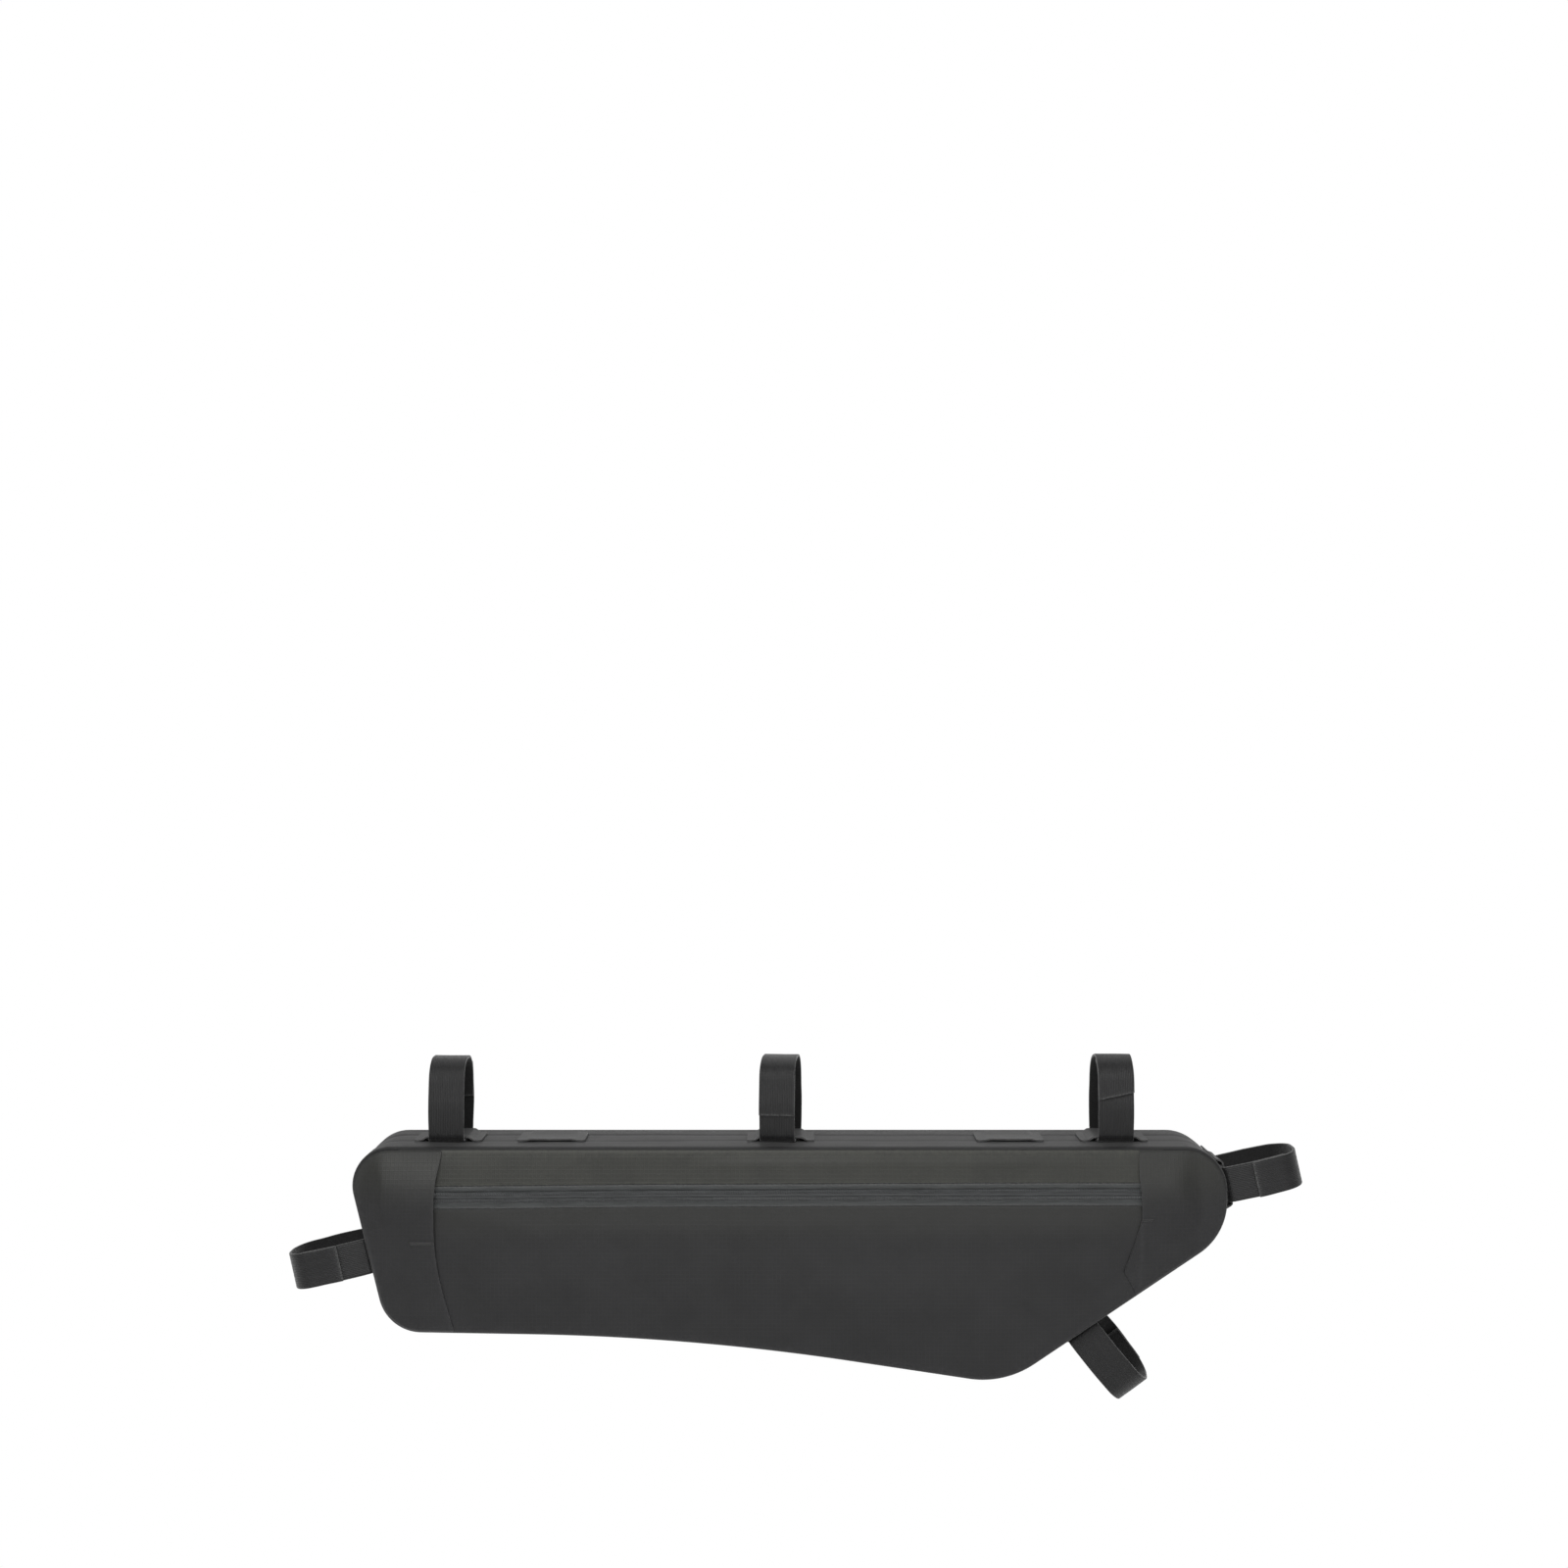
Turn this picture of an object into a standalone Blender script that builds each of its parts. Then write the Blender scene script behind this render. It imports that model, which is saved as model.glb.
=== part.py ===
"""Bicycle frame bag: a hollow, closed half-frame bag that hangs from a top tube by strap loops.

Metres, +Z up. +X runs from the seat tube towards the head tube, and the zip side faces -Y.
The origin is on the top tube's axis, over the middle strap.
"""

import math

import bmesh
import bpy
from mathutils import Matrix, Vector

# Bag body
BAG_LENGTH = 0.488
BAG_HEIGHT = 0.1327
BAG_WIDTH = 0.060
TUBE_AXIS_HEIGHT = 0.0245
FABRIC = 0.0012
SEAM_GAP = 0.0003
EDGE_RADIUS = 0.004
CROWN = 0.004
GUSSET_JOIN = 0.0
SPINE_REAR = -0.369
SPINE_HEAD = 0.377
SPINE_DROP = 0.39

# Rings of a side panel: angles round the bag's edge, from the gusset's side, then depths in from the
# outline, then shares of the way on to the spine
SEAM_ANGLE = math.radians(55)
RIM_ANGLE = math.radians(1.5)
PANEL_ANGLES = (SEAM_ANGLE, SEAM_ANGLE + RIM_ANGLE, math.radians(72), math.radians(90))
PANEL_INSETS = (0.010, 0.018)
SPINE_SHARES = (0.30, 0.60, 0.85)

# Overlapping end panels, raised a little over each end of the zip
PANEL_OVERLAP = 0.012
GARAGE_LENGTH = 0.020
REAR_GARAGE_RISE = 0.0036
REAR_GARAGE_HALF_HEIGHT = 0.020
HEAD_GARAGE_RISE = 0.0016
HEAD_GARAGE_HALF_HEIGHT = 0.014
LIFT_RUN = 0.014
LIFT_CLEAR = 0.008

# Zip
ZIP_DROP = 0.0264
ZIP_SLOT = 0.0128
ZIP_TAPE_HEIGHT = 0.026
ZIP_TAPE_THICKNESS = 0.0008
COIL_HEIGHT = 0.0066
COIL_THICKNESS = 0.0018
COIL_GROOVE = 0.0007
SLIDER_LENGTH = 0.010
SLIDER_HEIGHT = 0.0090
SLIDER_THICKNESS = 0.0020

# Straps and the patches that hold them
STRAP_WIDTH = 0.020
STRAP_THICKNESS = 0.0016
STRAP_GAP = 0.0003
PATCH_LENGTH = 0.038
PATCH_DEPTH = 0.026
PATCH_THICKNESS = 0.0010
PATCH_TUNNEL = 0.030
PATCH_RAMP = 0.0025
LOOP_LENGTH = 0.0440
LOOP_HALF_DEPTH = 0.0160
LOOP_PATH_STEP = 0.010
LAP_RAMP = 0.014

# Corners of the side view, in order from the seat-tube top corner down and round. x is a share of
# BAG_LENGTH from the middle strap, z a share of BAG_HEIGHT below the top, radius a share of BAG_HEIGHT.
# step is the longest run between points on the edge that follows.
CORNER_COLUMNS = ("name", "x", "z", "radius", "segments", "step")
CORNERS = (
    ("rear_top", -0.5022, 0.0, 0.164, 9, 0.009),
    ("rear_bottom", -0.4496, -0.780, 0.185, 6, 0.040),
    ("belly", -0.1033, -0.802, 10.35, 5, 0.040),
    ("lobe", 0.2560, -1.0, 0.390, 6, 0.018),
    ("head_bottom", 0.5109, -0.3715, 0.267, 6, 0.009),
    ("head_top", 0.5109, 0.0, 0.185, 8, 0.040),
)

# Free edges of the two end panels. x is a share of BAG_LENGTH, z a share of BAG_HEIGHT.
REAR_FLAP_EDGE = (
    (-0.3860, 0.10),
    (-0.3870, -0.03),
    (-0.3915, -0.10),
    (-0.3938, -0.25),
    (-0.3932, -0.40),
    (-0.3905, -0.50),
    (-0.3850, -0.60),
    (-0.3780, -0.70),
    (-0.3690, -0.82),
    (-0.3600, -0.95),
)
HEAD_FLAP_EDGE = (
    (0.4096, 0.10),
    (0.4090, -0.05),
    (0.4076, -0.10),
    (0.4104, -0.20),
    (0.4112, -0.40),
    (0.4090, -0.58),
    (0.4050, -0.68),
    (0.4020, -0.95),
)

# Section through the inner face of a strap loop, as corners from the bag's front round to its back,
# over the tube and down. out is a share of the loop's length, depth and radius of LOOP_HALF_DEPTH.
LOOP_COLUMNS = ("depth", "out", "radius", "segments")
LOOP_CORNERS = (
    (-1.0, 0.0, 0.17, 3),
    (1.0, 0.0, 0.17, 3),
    (1.07, 0.42, 2.5, 3),
    (0.86, 1.0, 0.78, 6),
    (-0.86, 1.0, 0.78, 6),
    (-1.07, 0.42, 2.5, 3),
)

# Where each strap and patch sits. edge names the corner that the edge starts from, share is how far
# along that edge, tilt leans the loop towards the next corner and twist turns it about its own length.
# out is the loop's length as a share of LOOP_LENGTH, or 0 where the patch holds no strap. lap_end is
# where the strap's outer end lies and lap is how much of it lies double, as shares of the way round.
ANCHOR_COLUMNS = ("name", "edge", "share", "tilt", "twist", "out", "lap_end", "lap")
ANCHORS = (
    ("top_rear", "head_top", 0.8855, 0.0, 0.0, 0.984, 0.52, 0.14),
    ("top_rear_spare", "head_top", 0.7666, 0.0, 0.0, 0.0, 0.0, 0.0),
    ("top_middle", "head_top", 0.5043, 0.0, -7.0, 1.0, 0.915, 0.16),
    ("top_head_spare", "head_top", 0.2419, 0.0, 0.0, 0.0, 0.0, 0.0),
    ("top_head", "head_top", 0.1220, 0.0, 0.0, 0.984, 0.84, 0.17),
    ("seat_tube", "rear_top", 0.6060, -1.0, 0.0, 1.041, 0.90, 0.14),
    ("head_tube", "head_bottom", 0.5130, 11.3, 0.0, 0.961, 0.90, 0.14),
    ("down_tube", "lobe", 0.3625, 5.0, 9.0, 1.030, 0.52, 0.14),
)


# Colours are linear.
FINISH_COLUMNS = ("name", "colour", "roughness", "metallic")
FINISHES = (
    ("body_fabric", (0.021, 0.021, 0.022), 0.62, 0.0),
    ("olive_fabric", (0.032, 0.032, 0.028), 0.60, 0.0),
    ("gusset_fabric", (0.014, 0.014, 0.014), 0.55, 0.0),
    ("zip_cloth", (0.050, 0.052, 0.052), 0.50, 0.0),
    ("zip_plastic", (0.040, 0.041, 0.042), 0.45, 0.0),
    ("slider_metal", (0.030, 0.030, 0.030), 0.35, 1.0),
    ("patch_fabric", (0.055, 0.055, 0.055), 0.50, 0.0),
    ("webbing", (0.012, 0.012, 0.012), 0.60, 0.0),
)


class Row:
    """One row of a table, read by its column names."""

    def __init__(self, columns, values):
        for column, value in zip(columns, values):
            setattr(self, column, value)


def clear_scene():
    for obj in list(bpy.data.objects):
        bpy.data.objects.remove(obj)


def new_collection(name):
    collection = bpy.data.collections.new(name)
    bpy.context.scene.collection.children.link(collection)
    return collection


def make_material(name, finish):
    look = next(row for row in (Row(FINISH_COLUMNS, values) for values in FINISHES) if row.name == finish)
    material = bpy.data.materials.new(name)
    material.use_nodes = True
    shader = material.node_tree.nodes["Principled BSDF"]
    shader.inputs["Base Color"].default_value = (*look.colour, 1.0)
    shader.inputs["Roughness"].default_value = look.roughness
    shader.inputs["Metallic"].default_value = look.metallic
    return material


def rounded(corners):
    """Points of a closed, anticlockwise outline whose corners are rounded by arcs.

    Each corner is (point, radius, segments, step), with step for the edge that follows it.
    Returns (point, outward normal) pairs.
    """
    arcs = []
    count = len(corners)
    for i, (point, radius, segments, _) in enumerate(corners):
        arriving = (point - corners[i - 1][0]).normalized()
        leaving = (corners[(i + 1) % count][0] - point).normalized()
        bulges = 1.0 if arriving.cross(leaving) > 0 else -1.0
        turn = abs(arriving.angle_signed(leaving))
        inward = Vector((-arriving.y, arriving.x)) * bulges
        centre = point - arriving * (radius * math.tan(turn / 2)) + inward * radius
        arc = []
        for k in range(segments + 1):
            angle = turn * k / segments
            spoke = arriving * math.sin(angle) - inward * math.cos(angle)
            arc.append((centre + spoke * radius, spoke * bulges))
        arcs.append(arc)
    found = []
    for i, arc in enumerate(arcs):
        found.extend(arc)
        start, normal = arc[-1]
        run = arcs[(i + 1) % count][0][0] - start
        extra = int(run.length / corners[i][3])
        found.extend((start + run * (k / (extra + 1)), normal) for k in range(1, extra + 1))
    return found


def bag_corners():
    rows = [Row(CORNER_COLUMNS, values) for values in CORNERS]
    return {
        row.name: (
            Vector((row.x * BAG_LENGTH, row.z * BAG_HEIGHT - TUBE_AXIS_HEIGHT)),
            row.radius * BAG_HEIGHT,
            row.segments,
            row.step,
        )
        for row in rows
    }


def bag_outline():
    """(point, outward normal) pairs round the side view, in X and Z."""
    return rounded(list(bag_corners().values()))


def crown_at(depth_in):
    """How far a side panel stands out past the flat, at that distance in from the outline."""
    reach = SPINE_DROP * BAG_HEIGHT
    share = min(max((depth_in - EDGE_RADIUS) / (reach - EDGE_RADIUS), 0.0), 1.0)
    return CROWN * (1.0 - (1.0 - share) ** 2)


def smooth(value, low, high):
    share = min(max((value - low) / (high - low), 0.0), 1.0)
    return share * share * (3.0 - 2.0 * share)


def zip_height():
    return -TUBE_AXIS_HEIGHT - ZIP_DROP


def rear_inner_x():
    """Seat-tube end of the panels that run along the middle, under the rear end panel."""
    return BAG_LENGTH * min(x for x, _ in REAR_FLAP_EDGE) - GARAGE_LENGTH


def head_inner_x():
    """Head-tube end of the panels that run along the middle, under the head end panel."""
    return BAG_LENGTH * max(x for x, _ in HEAD_FLAP_EDGE) + PANEL_OVERLAP


def bulge(z, half_height):
    return math.exp(-(((z - zip_height()) / half_height) ** 2))


def rear_lift(x, z):
    """How far the rear end panel stands out to clear the middle panels, the zip and its slider."""
    end = rear_inner_x() - LIFT_CLEAR
    rise = FABRIC + SEAM_GAP + REAR_GARAGE_RISE * bulge(z, REAR_GARAGE_HALF_HEIGHT)
    return rise * smooth(x, end - LIFT_RUN, end)


def head_lift(x, z):
    """How far the head end panel stands out to clear the middle panels and the zip."""
    end = head_inner_x() + LIFT_CLEAR
    rise = FABRIC + SEAM_GAP + HEAD_GARAGE_RISE * bulge(z, HEAD_GARAGE_HALF_HEIGHT)
    return rise * (1.0 - smooth(x, end, end + LIFT_RUN))


def tape_lift(x, z):
    """The zip tape lies behind the middle panels."""
    return -(FABRIC + SEAM_GAP)


def no_lift(x, z):
    return 0.0


def spine_point(point):
    """The nearest point of the line along the middle of the side view."""
    x = min(max(point.x, SPINE_REAR * BAG_LENGTH), SPINE_HEAD * BAG_LENGTH)
    return Vector((x, -TUBE_AXIS_HEIGHT - SPINE_DROP * BAG_HEIGHT))


def panel_rings(side, lift):
    """Rings of a side panel from the gusset seam inward. side is -1 for the front and 1 for the back."""
    outline = bag_outline()
    half = BAG_WIDTH / 2
    rings = []
    for angle in PANEL_ANGLES:
        ring = []
        for point, normal in outline:
            rise = lift(point.x, point.y)
            inset = EDGE_RADIUS * (1 - math.cos(angle)) - rise * math.cos(angle)
            out = half - EDGE_RADIUS + (EDGE_RADIUS + rise) * math.sin(angle)
            place = point - normal * inset
            ring.append(Vector((place.x, side * out, place.y)))
        rings.append(ring)
    for inset in PANEL_INSETS:
        ring = []
        for point, normal in outline:
            place = point - normal * inset
            out = half + crown_at(inset) + lift(place.x, place.y)
            ring.append(Vector((place.x, side * out, place.y)))
        rings.append(ring)
    last = PANEL_INSETS[-1]
    for share in SPINE_SHARES:
        crown = crown_at(last + (SPINE_DROP * BAG_HEIGHT - last) * share)
        ring = []
        for point, normal in outline:
            start = point - normal * last
            place = start.lerp(spine_point(start), share)
            ring.append(Vector((place.x, side * (half + crown + lift(place.x, place.y)), place.y)))
        rings.append(ring)
    return rings


def loft(name, rings, close_last):
    """An open surface through closed rings that have as many points each."""
    mesh = bmesh.new()
    made = [[mesh.verts.new(point) for point in ring] for ring in rings]
    count = len(made[0])
    for ring, after in zip(made, made[1:]):
        for i in range(count):
            j = (i + 1) % count
            mesh.faces.new((ring[i], ring[j], after[j], after[i]))
    if close_last:
        mesh.faces.new(made[-1])
    bmesh.ops.recalc_face_normals(mesh, faces=mesh.faces)
    data = bpy.data.meshes.new(name)
    mesh.to_mesh(data)
    mesh.free()
    return data


def face_outward(data, test):
    """Turns the surface round if test(centre, normal) says that it faces in."""
    data.update()
    score = sum(test(face.center, face.normal) * face.area for face in data.polygons)
    if score < 0:
        data.flip_normals()
        data.update()


def add_object(name, data, finish, collection):
    """An object with a material of its own. A trimming shape has no finish and so no material."""
    obj = bpy.data.objects.new(name, data)
    collection.objects.link(obj)
    if finish:
        obj.data.materials.append(make_material(name, finish))
    return obj


def thicken(obj, thickness):
    """A wall inward from the open surface."""
    wall = obj.modifiers.new("Wall", "SOLIDIFY")
    wall.thickness = thickness
    wall.offset = -1.0
    wall.use_even_offset = True


def prism(name, points, depth, collection):
    """A closed prism along Y over a flat outline given in X and Z, used to trim panels."""
    mesh = bmesh.new()
    near = [mesh.verts.new((x, -depth, z)) for x, z in points]
    far = [mesh.verts.new((x, depth, z)) for x, z in points]
    count = len(points)
    mesh.faces.new(near)
    mesh.faces.new(far)
    for i in range(count):
        j = (i + 1) % count
        mesh.faces.new((near[i], near[j], far[j], far[i]))
    bmesh.ops.recalc_face_normals(mesh, faces=mesh.faces)
    data = bpy.data.meshes.new(name)
    mesh.to_mesh(data)
    mesh.free()
    obj = add_object(name, data, None, collection)
    obj.hide_render = True
    obj.display_type = "WIRE"
    return obj


def trim(obj, cutter):
    keep = obj.modifiers.new("Trim", "BOOLEAN")
    keep.operation = "INTERSECT"
    keep.solver = "EXACT"
    keep.object = cutter


def make_gusset(collection, cutters):
    """The band between the side panels, in two lengths that meet under the middle strap and below it."""
    outline = bag_outline()
    half = BAG_WIDTH / 2
    last = SEAM_ANGLE - SEAM_GAP / (EDGE_RADIUS - FABRIC)
    angles = (last, last - RIM_ANGLE, last / 2, 0.0)
    stations = [(-1, angle) for angle in angles] + [(1, angle) for angle in reversed(angles)]
    rings = []
    for side, angle in stations:
        inset = EDGE_RADIUS * (1 - math.cos(angle))
        out = half - EDGE_RADIUS + EDGE_RADIUS * math.sin(angle)
        places = [point - normal * inset for point, normal in outline]
        rings.append([Vector((place.x, side * out, place.y)) for place in places])
    middle = Vector((0.0, 0.0, -TUBE_AXIS_HEIGHT - BAG_HEIGHT * 0.4))
    beyond = BAG_LENGTH
    rear_end, head_start = GUSSET_JOIN - SEAM_GAP / 2, GUSSET_JOIN + SEAM_GAP / 2
    for name, low, high in (("gusset_rear", -beyond, rear_end), ("gusset_head", head_start, beyond)):
        data = loft(name, rings, close_last=False)
        face_outward(data, lambda centre, normal: normal.dot(centre - middle))
        half_band = add_object(name, data, "gusset_fabric", collection)
        thicken(half_band, FABRIC)
        trim(half_band, prism(f"{name}_area", rectangle(low, high, -beyond, beyond), BAG_WIDTH, cutters))


def make_side(name, side, lift, thickness, finish, collection):
    data = loft(name, panel_rings(side, lift), close_last=True)
    face_outward(data, lambda centre, normal: side * normal.y)
    obj = add_object(name, data, finish, collection)
    thicken(obj, thickness)
    return obj


def edge_points(edge):
    return [(x * BAG_LENGTH, z * BAG_HEIGHT - TUBE_AXIS_HEIGHT) for x, z in edge]


def rectangle(low, high, bottom, top):
    return [(low, bottom), (high, bottom), (high, top), (low, top)]


def make_front(collection, cutters):
    """The four front panels, two along the middle and one lapped over each end, and the zip tape."""
    beyond = BAG_LENGTH
    rear, head = rear_inner_x(), head_inner_x()
    slot_top = zip_height() + ZIP_SLOT / 2
    slot_bottom = zip_height() - ZIP_SLOT / 2
    rear_edge = edge_points(REAR_FLAP_EDGE)
    head_edge = edge_points(HEAD_FLAP_EDGE)
    rear_area = [(-beyond, rear_edge[-1][1]), *reversed(rear_edge), (-beyond, rear_edge[0][1])]
    head_area = [(beyond, head_edge[0][1]), *head_edge, (beyond, head_edge[-1][1])]
    tape_bottom = zip_height() - ZIP_TAPE_HEIGHT / 2
    tape_top = zip_height() + ZIP_TAPE_HEIGHT / 2
    tape_area = rectangle(rear + SEAM_GAP, head - SEAM_GAP, tape_bottom, tape_top)
    pieces = (
        ("upper_panel", no_lift, FABRIC, "olive_fabric", rectangle(rear, head, slot_top, beyond)),
        ("lower_panel", no_lift, FABRIC, "body_fabric", rectangle(rear, head, -beyond, slot_bottom)),
        ("rear_end_panel", rear_lift, FABRIC, "body_fabric", rear_area),
        ("head_end_panel", head_lift, FABRIC, "body_fabric", head_area),
        ("zip_tape", tape_lift, ZIP_TAPE_THICKNESS, "zip_cloth", tape_area),
    )
    for name, lift, thickness, finish, area in pieces:
        panel = make_side(name, -1, lift, thickness, finish, collection)
        trim(panel, prism(f"{name}_area", area, BAG_WIDTH, cutters))


def filled_curve(name, outline, thickness, finish, collection):
    """A flat outline in the object's own X and Y, as thick as asked along its own Z."""
    curve = bpy.data.curves.new(name, "CURVE")
    curve.dimensions = "2D"
    curve.fill_mode = "BOTH"
    curve.extrude = thickness / 2
    spline = curve.splines.new("POLY")
    spline.points.add(len(outline) - 1)
    for point, place in zip(spline.points, outline):
        point.co = (place.x, place.y, 0.0, 1.0)
    spline.use_cyclic_u = True
    return add_object(name, curve, finish, collection)


def offset_path(path, distance):
    """The path moved to its left by distance, with its ends square."""
    found = []
    for i, point in enumerate(path):
        before = path[max(i - 1, 0)]
        after = path[min(i + 1, len(path) - 1)]
        arriving = (point - before).normalized() if i else (after - point).normalized()
        leaving = (after - point).normalized() if i < len(path) - 1 else arriving
        first = Vector((-arriving.y, arriving.x))
        second = Vector((-leaving.y, leaving.x))
        middle = (first + second).normalized()
        found.append(point + middle * (distance / max(middle.dot(first), 0.5)))
    return found


def ribbon(path, thickness):
    """The outline of a strip that has path as its right side."""
    return [*path, *reversed(offset_path(path, thickness))]


def section_across(name, outline, low, high, finish, collection):
    """A solid whose outline is in Y and Z, from low to high along X."""
    obj = filled_curve(name, outline, high - low, finish, collection)
    obj.matrix_world = Matrix(
        ((0, 0, 1, (low + high) / 2), (1, 0, 0, 0), (0, 1, 0, 0), (0, 0, 0, 1))
    )
    return obj


def panel_out(z):
    """Y of the front panels' outer face at height z, away from the ends."""
    return -(BAG_WIDTH / 2 + crown_at(-TUBE_AXIS_HEIGHT - z))


def make_zip(collection):
    """The closed coil on the tape's outer face, and a plain slider under the rear end panel."""
    rear = rear_inner_x() + SEAM_GAP
    head = head_inner_x() - SEAM_GAP
    half = COIL_HEIGHT / 2
    low_edge, high_edge = (
        Vector((panel_out(z) + FABRIC, z)) for z in (zip_height() - half, zip_height() + half)
    )
    base = low_edge.lerp(high_edge, 0.5)
    slope = (high_edge - low_edge).normalized()
    out = Vector((-slope.y, slope.x))
    hump, groove = COIL_THICKNESS, COIL_THICKNESS - COIL_GROOVE
    coil_shape = (
        (-half, 0.0),
        (-half, hump * 0.55),
        (-half * 0.78, hump),
        (-half * 0.25, hump),
        (0.0, groove),
        (half * 0.25, hump),
        (half * 0.78, hump),
        (half, hump * 0.55),
        (half, 0.0),
    )
    coil = [base + slope * along + out * height for along, height in coil_shape]
    section_across("zip_coil", coil, rear, head, "zip_plastic", collection)
    low = COIL_THICKNESS + SEAM_GAP
    body_half = SLIDER_HEIGHT / 2
    slider_shape = (
        (-body_half, low),
        (-body_half, low + SLIDER_THICKNESS * 0.6),
        (-body_half * 0.8, low + SLIDER_THICKNESS),
        (body_half * 0.8, low + SLIDER_THICKNESS),
        (body_half, low + SLIDER_THICKNESS * 0.6),
        (body_half, low),
    )
    slider = [base + slope * along + out * height for along, height in slider_shape]
    start = rear + GARAGE_LENGTH * 0.15
    section_across("zip_slider", slider, start, start + SLIDER_LENGTH, "slider_metal", collection)


class Station:
    """A place on the gusset: a point and the outward normal."""

    def __init__(self, point, normal):
        self.point = point
        self.normal = normal


def nearest_index(lengths, wanted):
    return min(range(len(lengths)), key=lambda i: abs(lengths[i] - wanted))


class Edge:
    """The side view's outline, read by distance along it."""

    def __init__(self):
        self.ring = bag_outline()
        self.lengths = [0.0]
        for i, (point, _) in enumerate(self.ring):
            after = self.ring[(i + 1) % len(self.ring)][0]
            self.lengths.append(self.lengths[-1] + (after - point).length)

    def nearest(self, place):
        best = min(range(len(self.ring)), key=lambda i: self._gap(i, place)[0])
        return self.lengths[best] + self._gap(best, place)[1]

    def _gap(self, i, place):
        start = self.ring[i][0]
        run = self.ring[(i + 1) % len(self.ring)][0] - start
        along = min(max((place - start).dot(run) / run.length_squared, 0.0), 1.0)
        return (place - start - run * along).length, run.length * along

    def station(self, distance):
        distance %= self.lengths[-1]
        i = max(k for k in range(len(self.ring)) if self.lengths[k] <= distance)
        point, normal = self.ring[i]
        after, after_normal = self.ring[(i + 1) % len(self.ring)]
        share = (distance - self.lengths[i]) / (self.lengths[i + 1] - self.lengths[i])
        return Station(point.lerp(after, share), normal.lerp(after_normal, share).normalized())


def anchor_place(row):
    """The anchor's point on the straight edge between two corners."""
    corners = bag_corners()
    names = list(corners)
    start = corners[row.edge][0]
    end = corners[names[(names.index(row.edge) + 1) % len(names)]][0]
    return start.lerp(end, row.share)


def strap_frame(row, station):
    """Outward and along directions of a strap, leaned by the anchor's tilt."""
    lean = Matrix.Rotation(math.radians(row.tilt), 2)
    outward = lean @ station.normal
    return outward, Vector((outward.y, -outward.x))


def strap_base(row, edge, station, outward, along):
    """How far out the strap's inner face lies so that its flat clears the gusset all the way."""
    half = STRAP_WIDTH / 2
    where = edge.nearest(station.point)
    reach = 0.0
    for k in range(-6, 7):
        place = edge.station(where + half * 1.2 * k / 6).point - station.point
        if abs(place.dot(along)) <= half:
            reach = max(reach, place.dot(outward))
    return reach + STRAP_GAP


def loop_path(row):
    """The strap's inner line in depth and out, from its inner end round to its outer end."""
    out = row.out * LOOP_LENGTH
    half = LOOP_HALF_DEPTH
    corners = [
        (Vector((c.depth * half, c.out * out)), c.radius * half, c.segments, LOOP_PATH_STEP)
        for c in (Row(LOOP_COLUMNS, values) for values in LOOP_CORNERS)
    ]
    ring = rounded(corners)
    count = len(ring)
    lengths = [0.0]
    for i in range(count):
        lengths.append(lengths[-1] + (ring[(i + 1) % count][0] - ring[i][0]).length)
    first = nearest_index(lengths, (row.lap_end - row.lap) * lengths[-1])
    last = nearest_index(lengths, row.lap_end * lengths[-1])
    covered = lengths[-1] + lengths[first - 1]
    layer = STRAP_THICKNESS + STRAP_GAP
    path = []
    for k in range(first, last + count + 1):
        place, normal = ring[k % count]
        turned = lengths[k % count] + lengths[-1] * (k // count)
        share = smooth(turned, covered - LAP_RAMP, covered)
        path.append(place + normal * (layer * share))
    return path


def make_strap(row, edge, collection):
    station = edge.station(edge.nearest(anchor_place(row)))
    outward, along = strap_frame(row, station)
    base = strap_base(row, edge, station, outward, along)
    path = loop_path(row)
    outline = ribbon(path, -STRAP_THICKNESS)
    low = min(point.y for point in outline)
    outline = [Vector((point.x, point.y - low)) for point in outline]
    strap = filled_curve(f"{row.name}_strap", outline, STRAP_WIDTH, "webbing", collection)
    place = station.point + outward * base
    frame = Matrix(
        (
            (0, outward.x, along.x, place.x),
            (1, 0, 0, 0),
            (0, outward.y, along.y, place.y),
            (0, 0, 0, 1),
        )
    )
    strap.matrix_world = frame @ Matrix.Rotation(math.radians(row.twist), 4, "Y")


def make_patch(row, edge, collection):
    """A strip bonded to the gusset at both ends, raised over the strap that runs under it."""
    where = edge.nearest(anchor_place(row))
    station = edge.station(where)
    outward, along = strap_frame(row, station)
    base = strap_base(row, edge, station, outward, along)
    roof = base + STRAP_THICKNESS + STRAP_GAP
    half, tunnel = PATCH_LENGTH / 2, PATCH_TUNNEL / 2
    flat = tunnel - PATCH_RAMP
    path = []
    for distance in (-half, -(half + tunnel) / 2, -tunnel):
        foot = edge.station(where + distance)
        path.append(foot.point + foot.normal * SEAM_GAP)
    for distance in (-flat, flat):
        path.append(station.point - along * distance + outward * roof)
    for distance in (tunnel, (half + tunnel) / 2, half):
        foot = edge.station(where + distance)
        path.append(foot.point + foot.normal * SEAM_GAP)
    outline = ribbon(path, -PATCH_THICKNESS)
    patch = filled_curve(f"{row.name}_patch", outline, PATCH_DEPTH, "patch_fabric", collection)
    patch.matrix_world = Matrix(((1, 0, 0, 0), (0, 0, -1, 0), (0, 1, 0, 0), (0, 0, 0, 1)))


def main():
    clear_scene()
    parts = new_collection("bicycle_frame_bag")
    cutters = new_collection("trim_shapes")
    make_gusset(parts, cutters)
    make_side("back_panel", 1, no_lift, FABRIC, "body_fabric", parts)
    make_front(parts, cutters)
    make_zip(parts)
    edge = Edge()
    for values in ANCHORS:
        row = Row(ANCHOR_COLUMNS, values)
        make_patch(row, edge, parts)
        if row.out:
            make_strap(row, edge, parts)


main()
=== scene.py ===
"""Bicycle frame bag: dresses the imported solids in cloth, zip, patches and hook-and-loop straps."""

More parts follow.
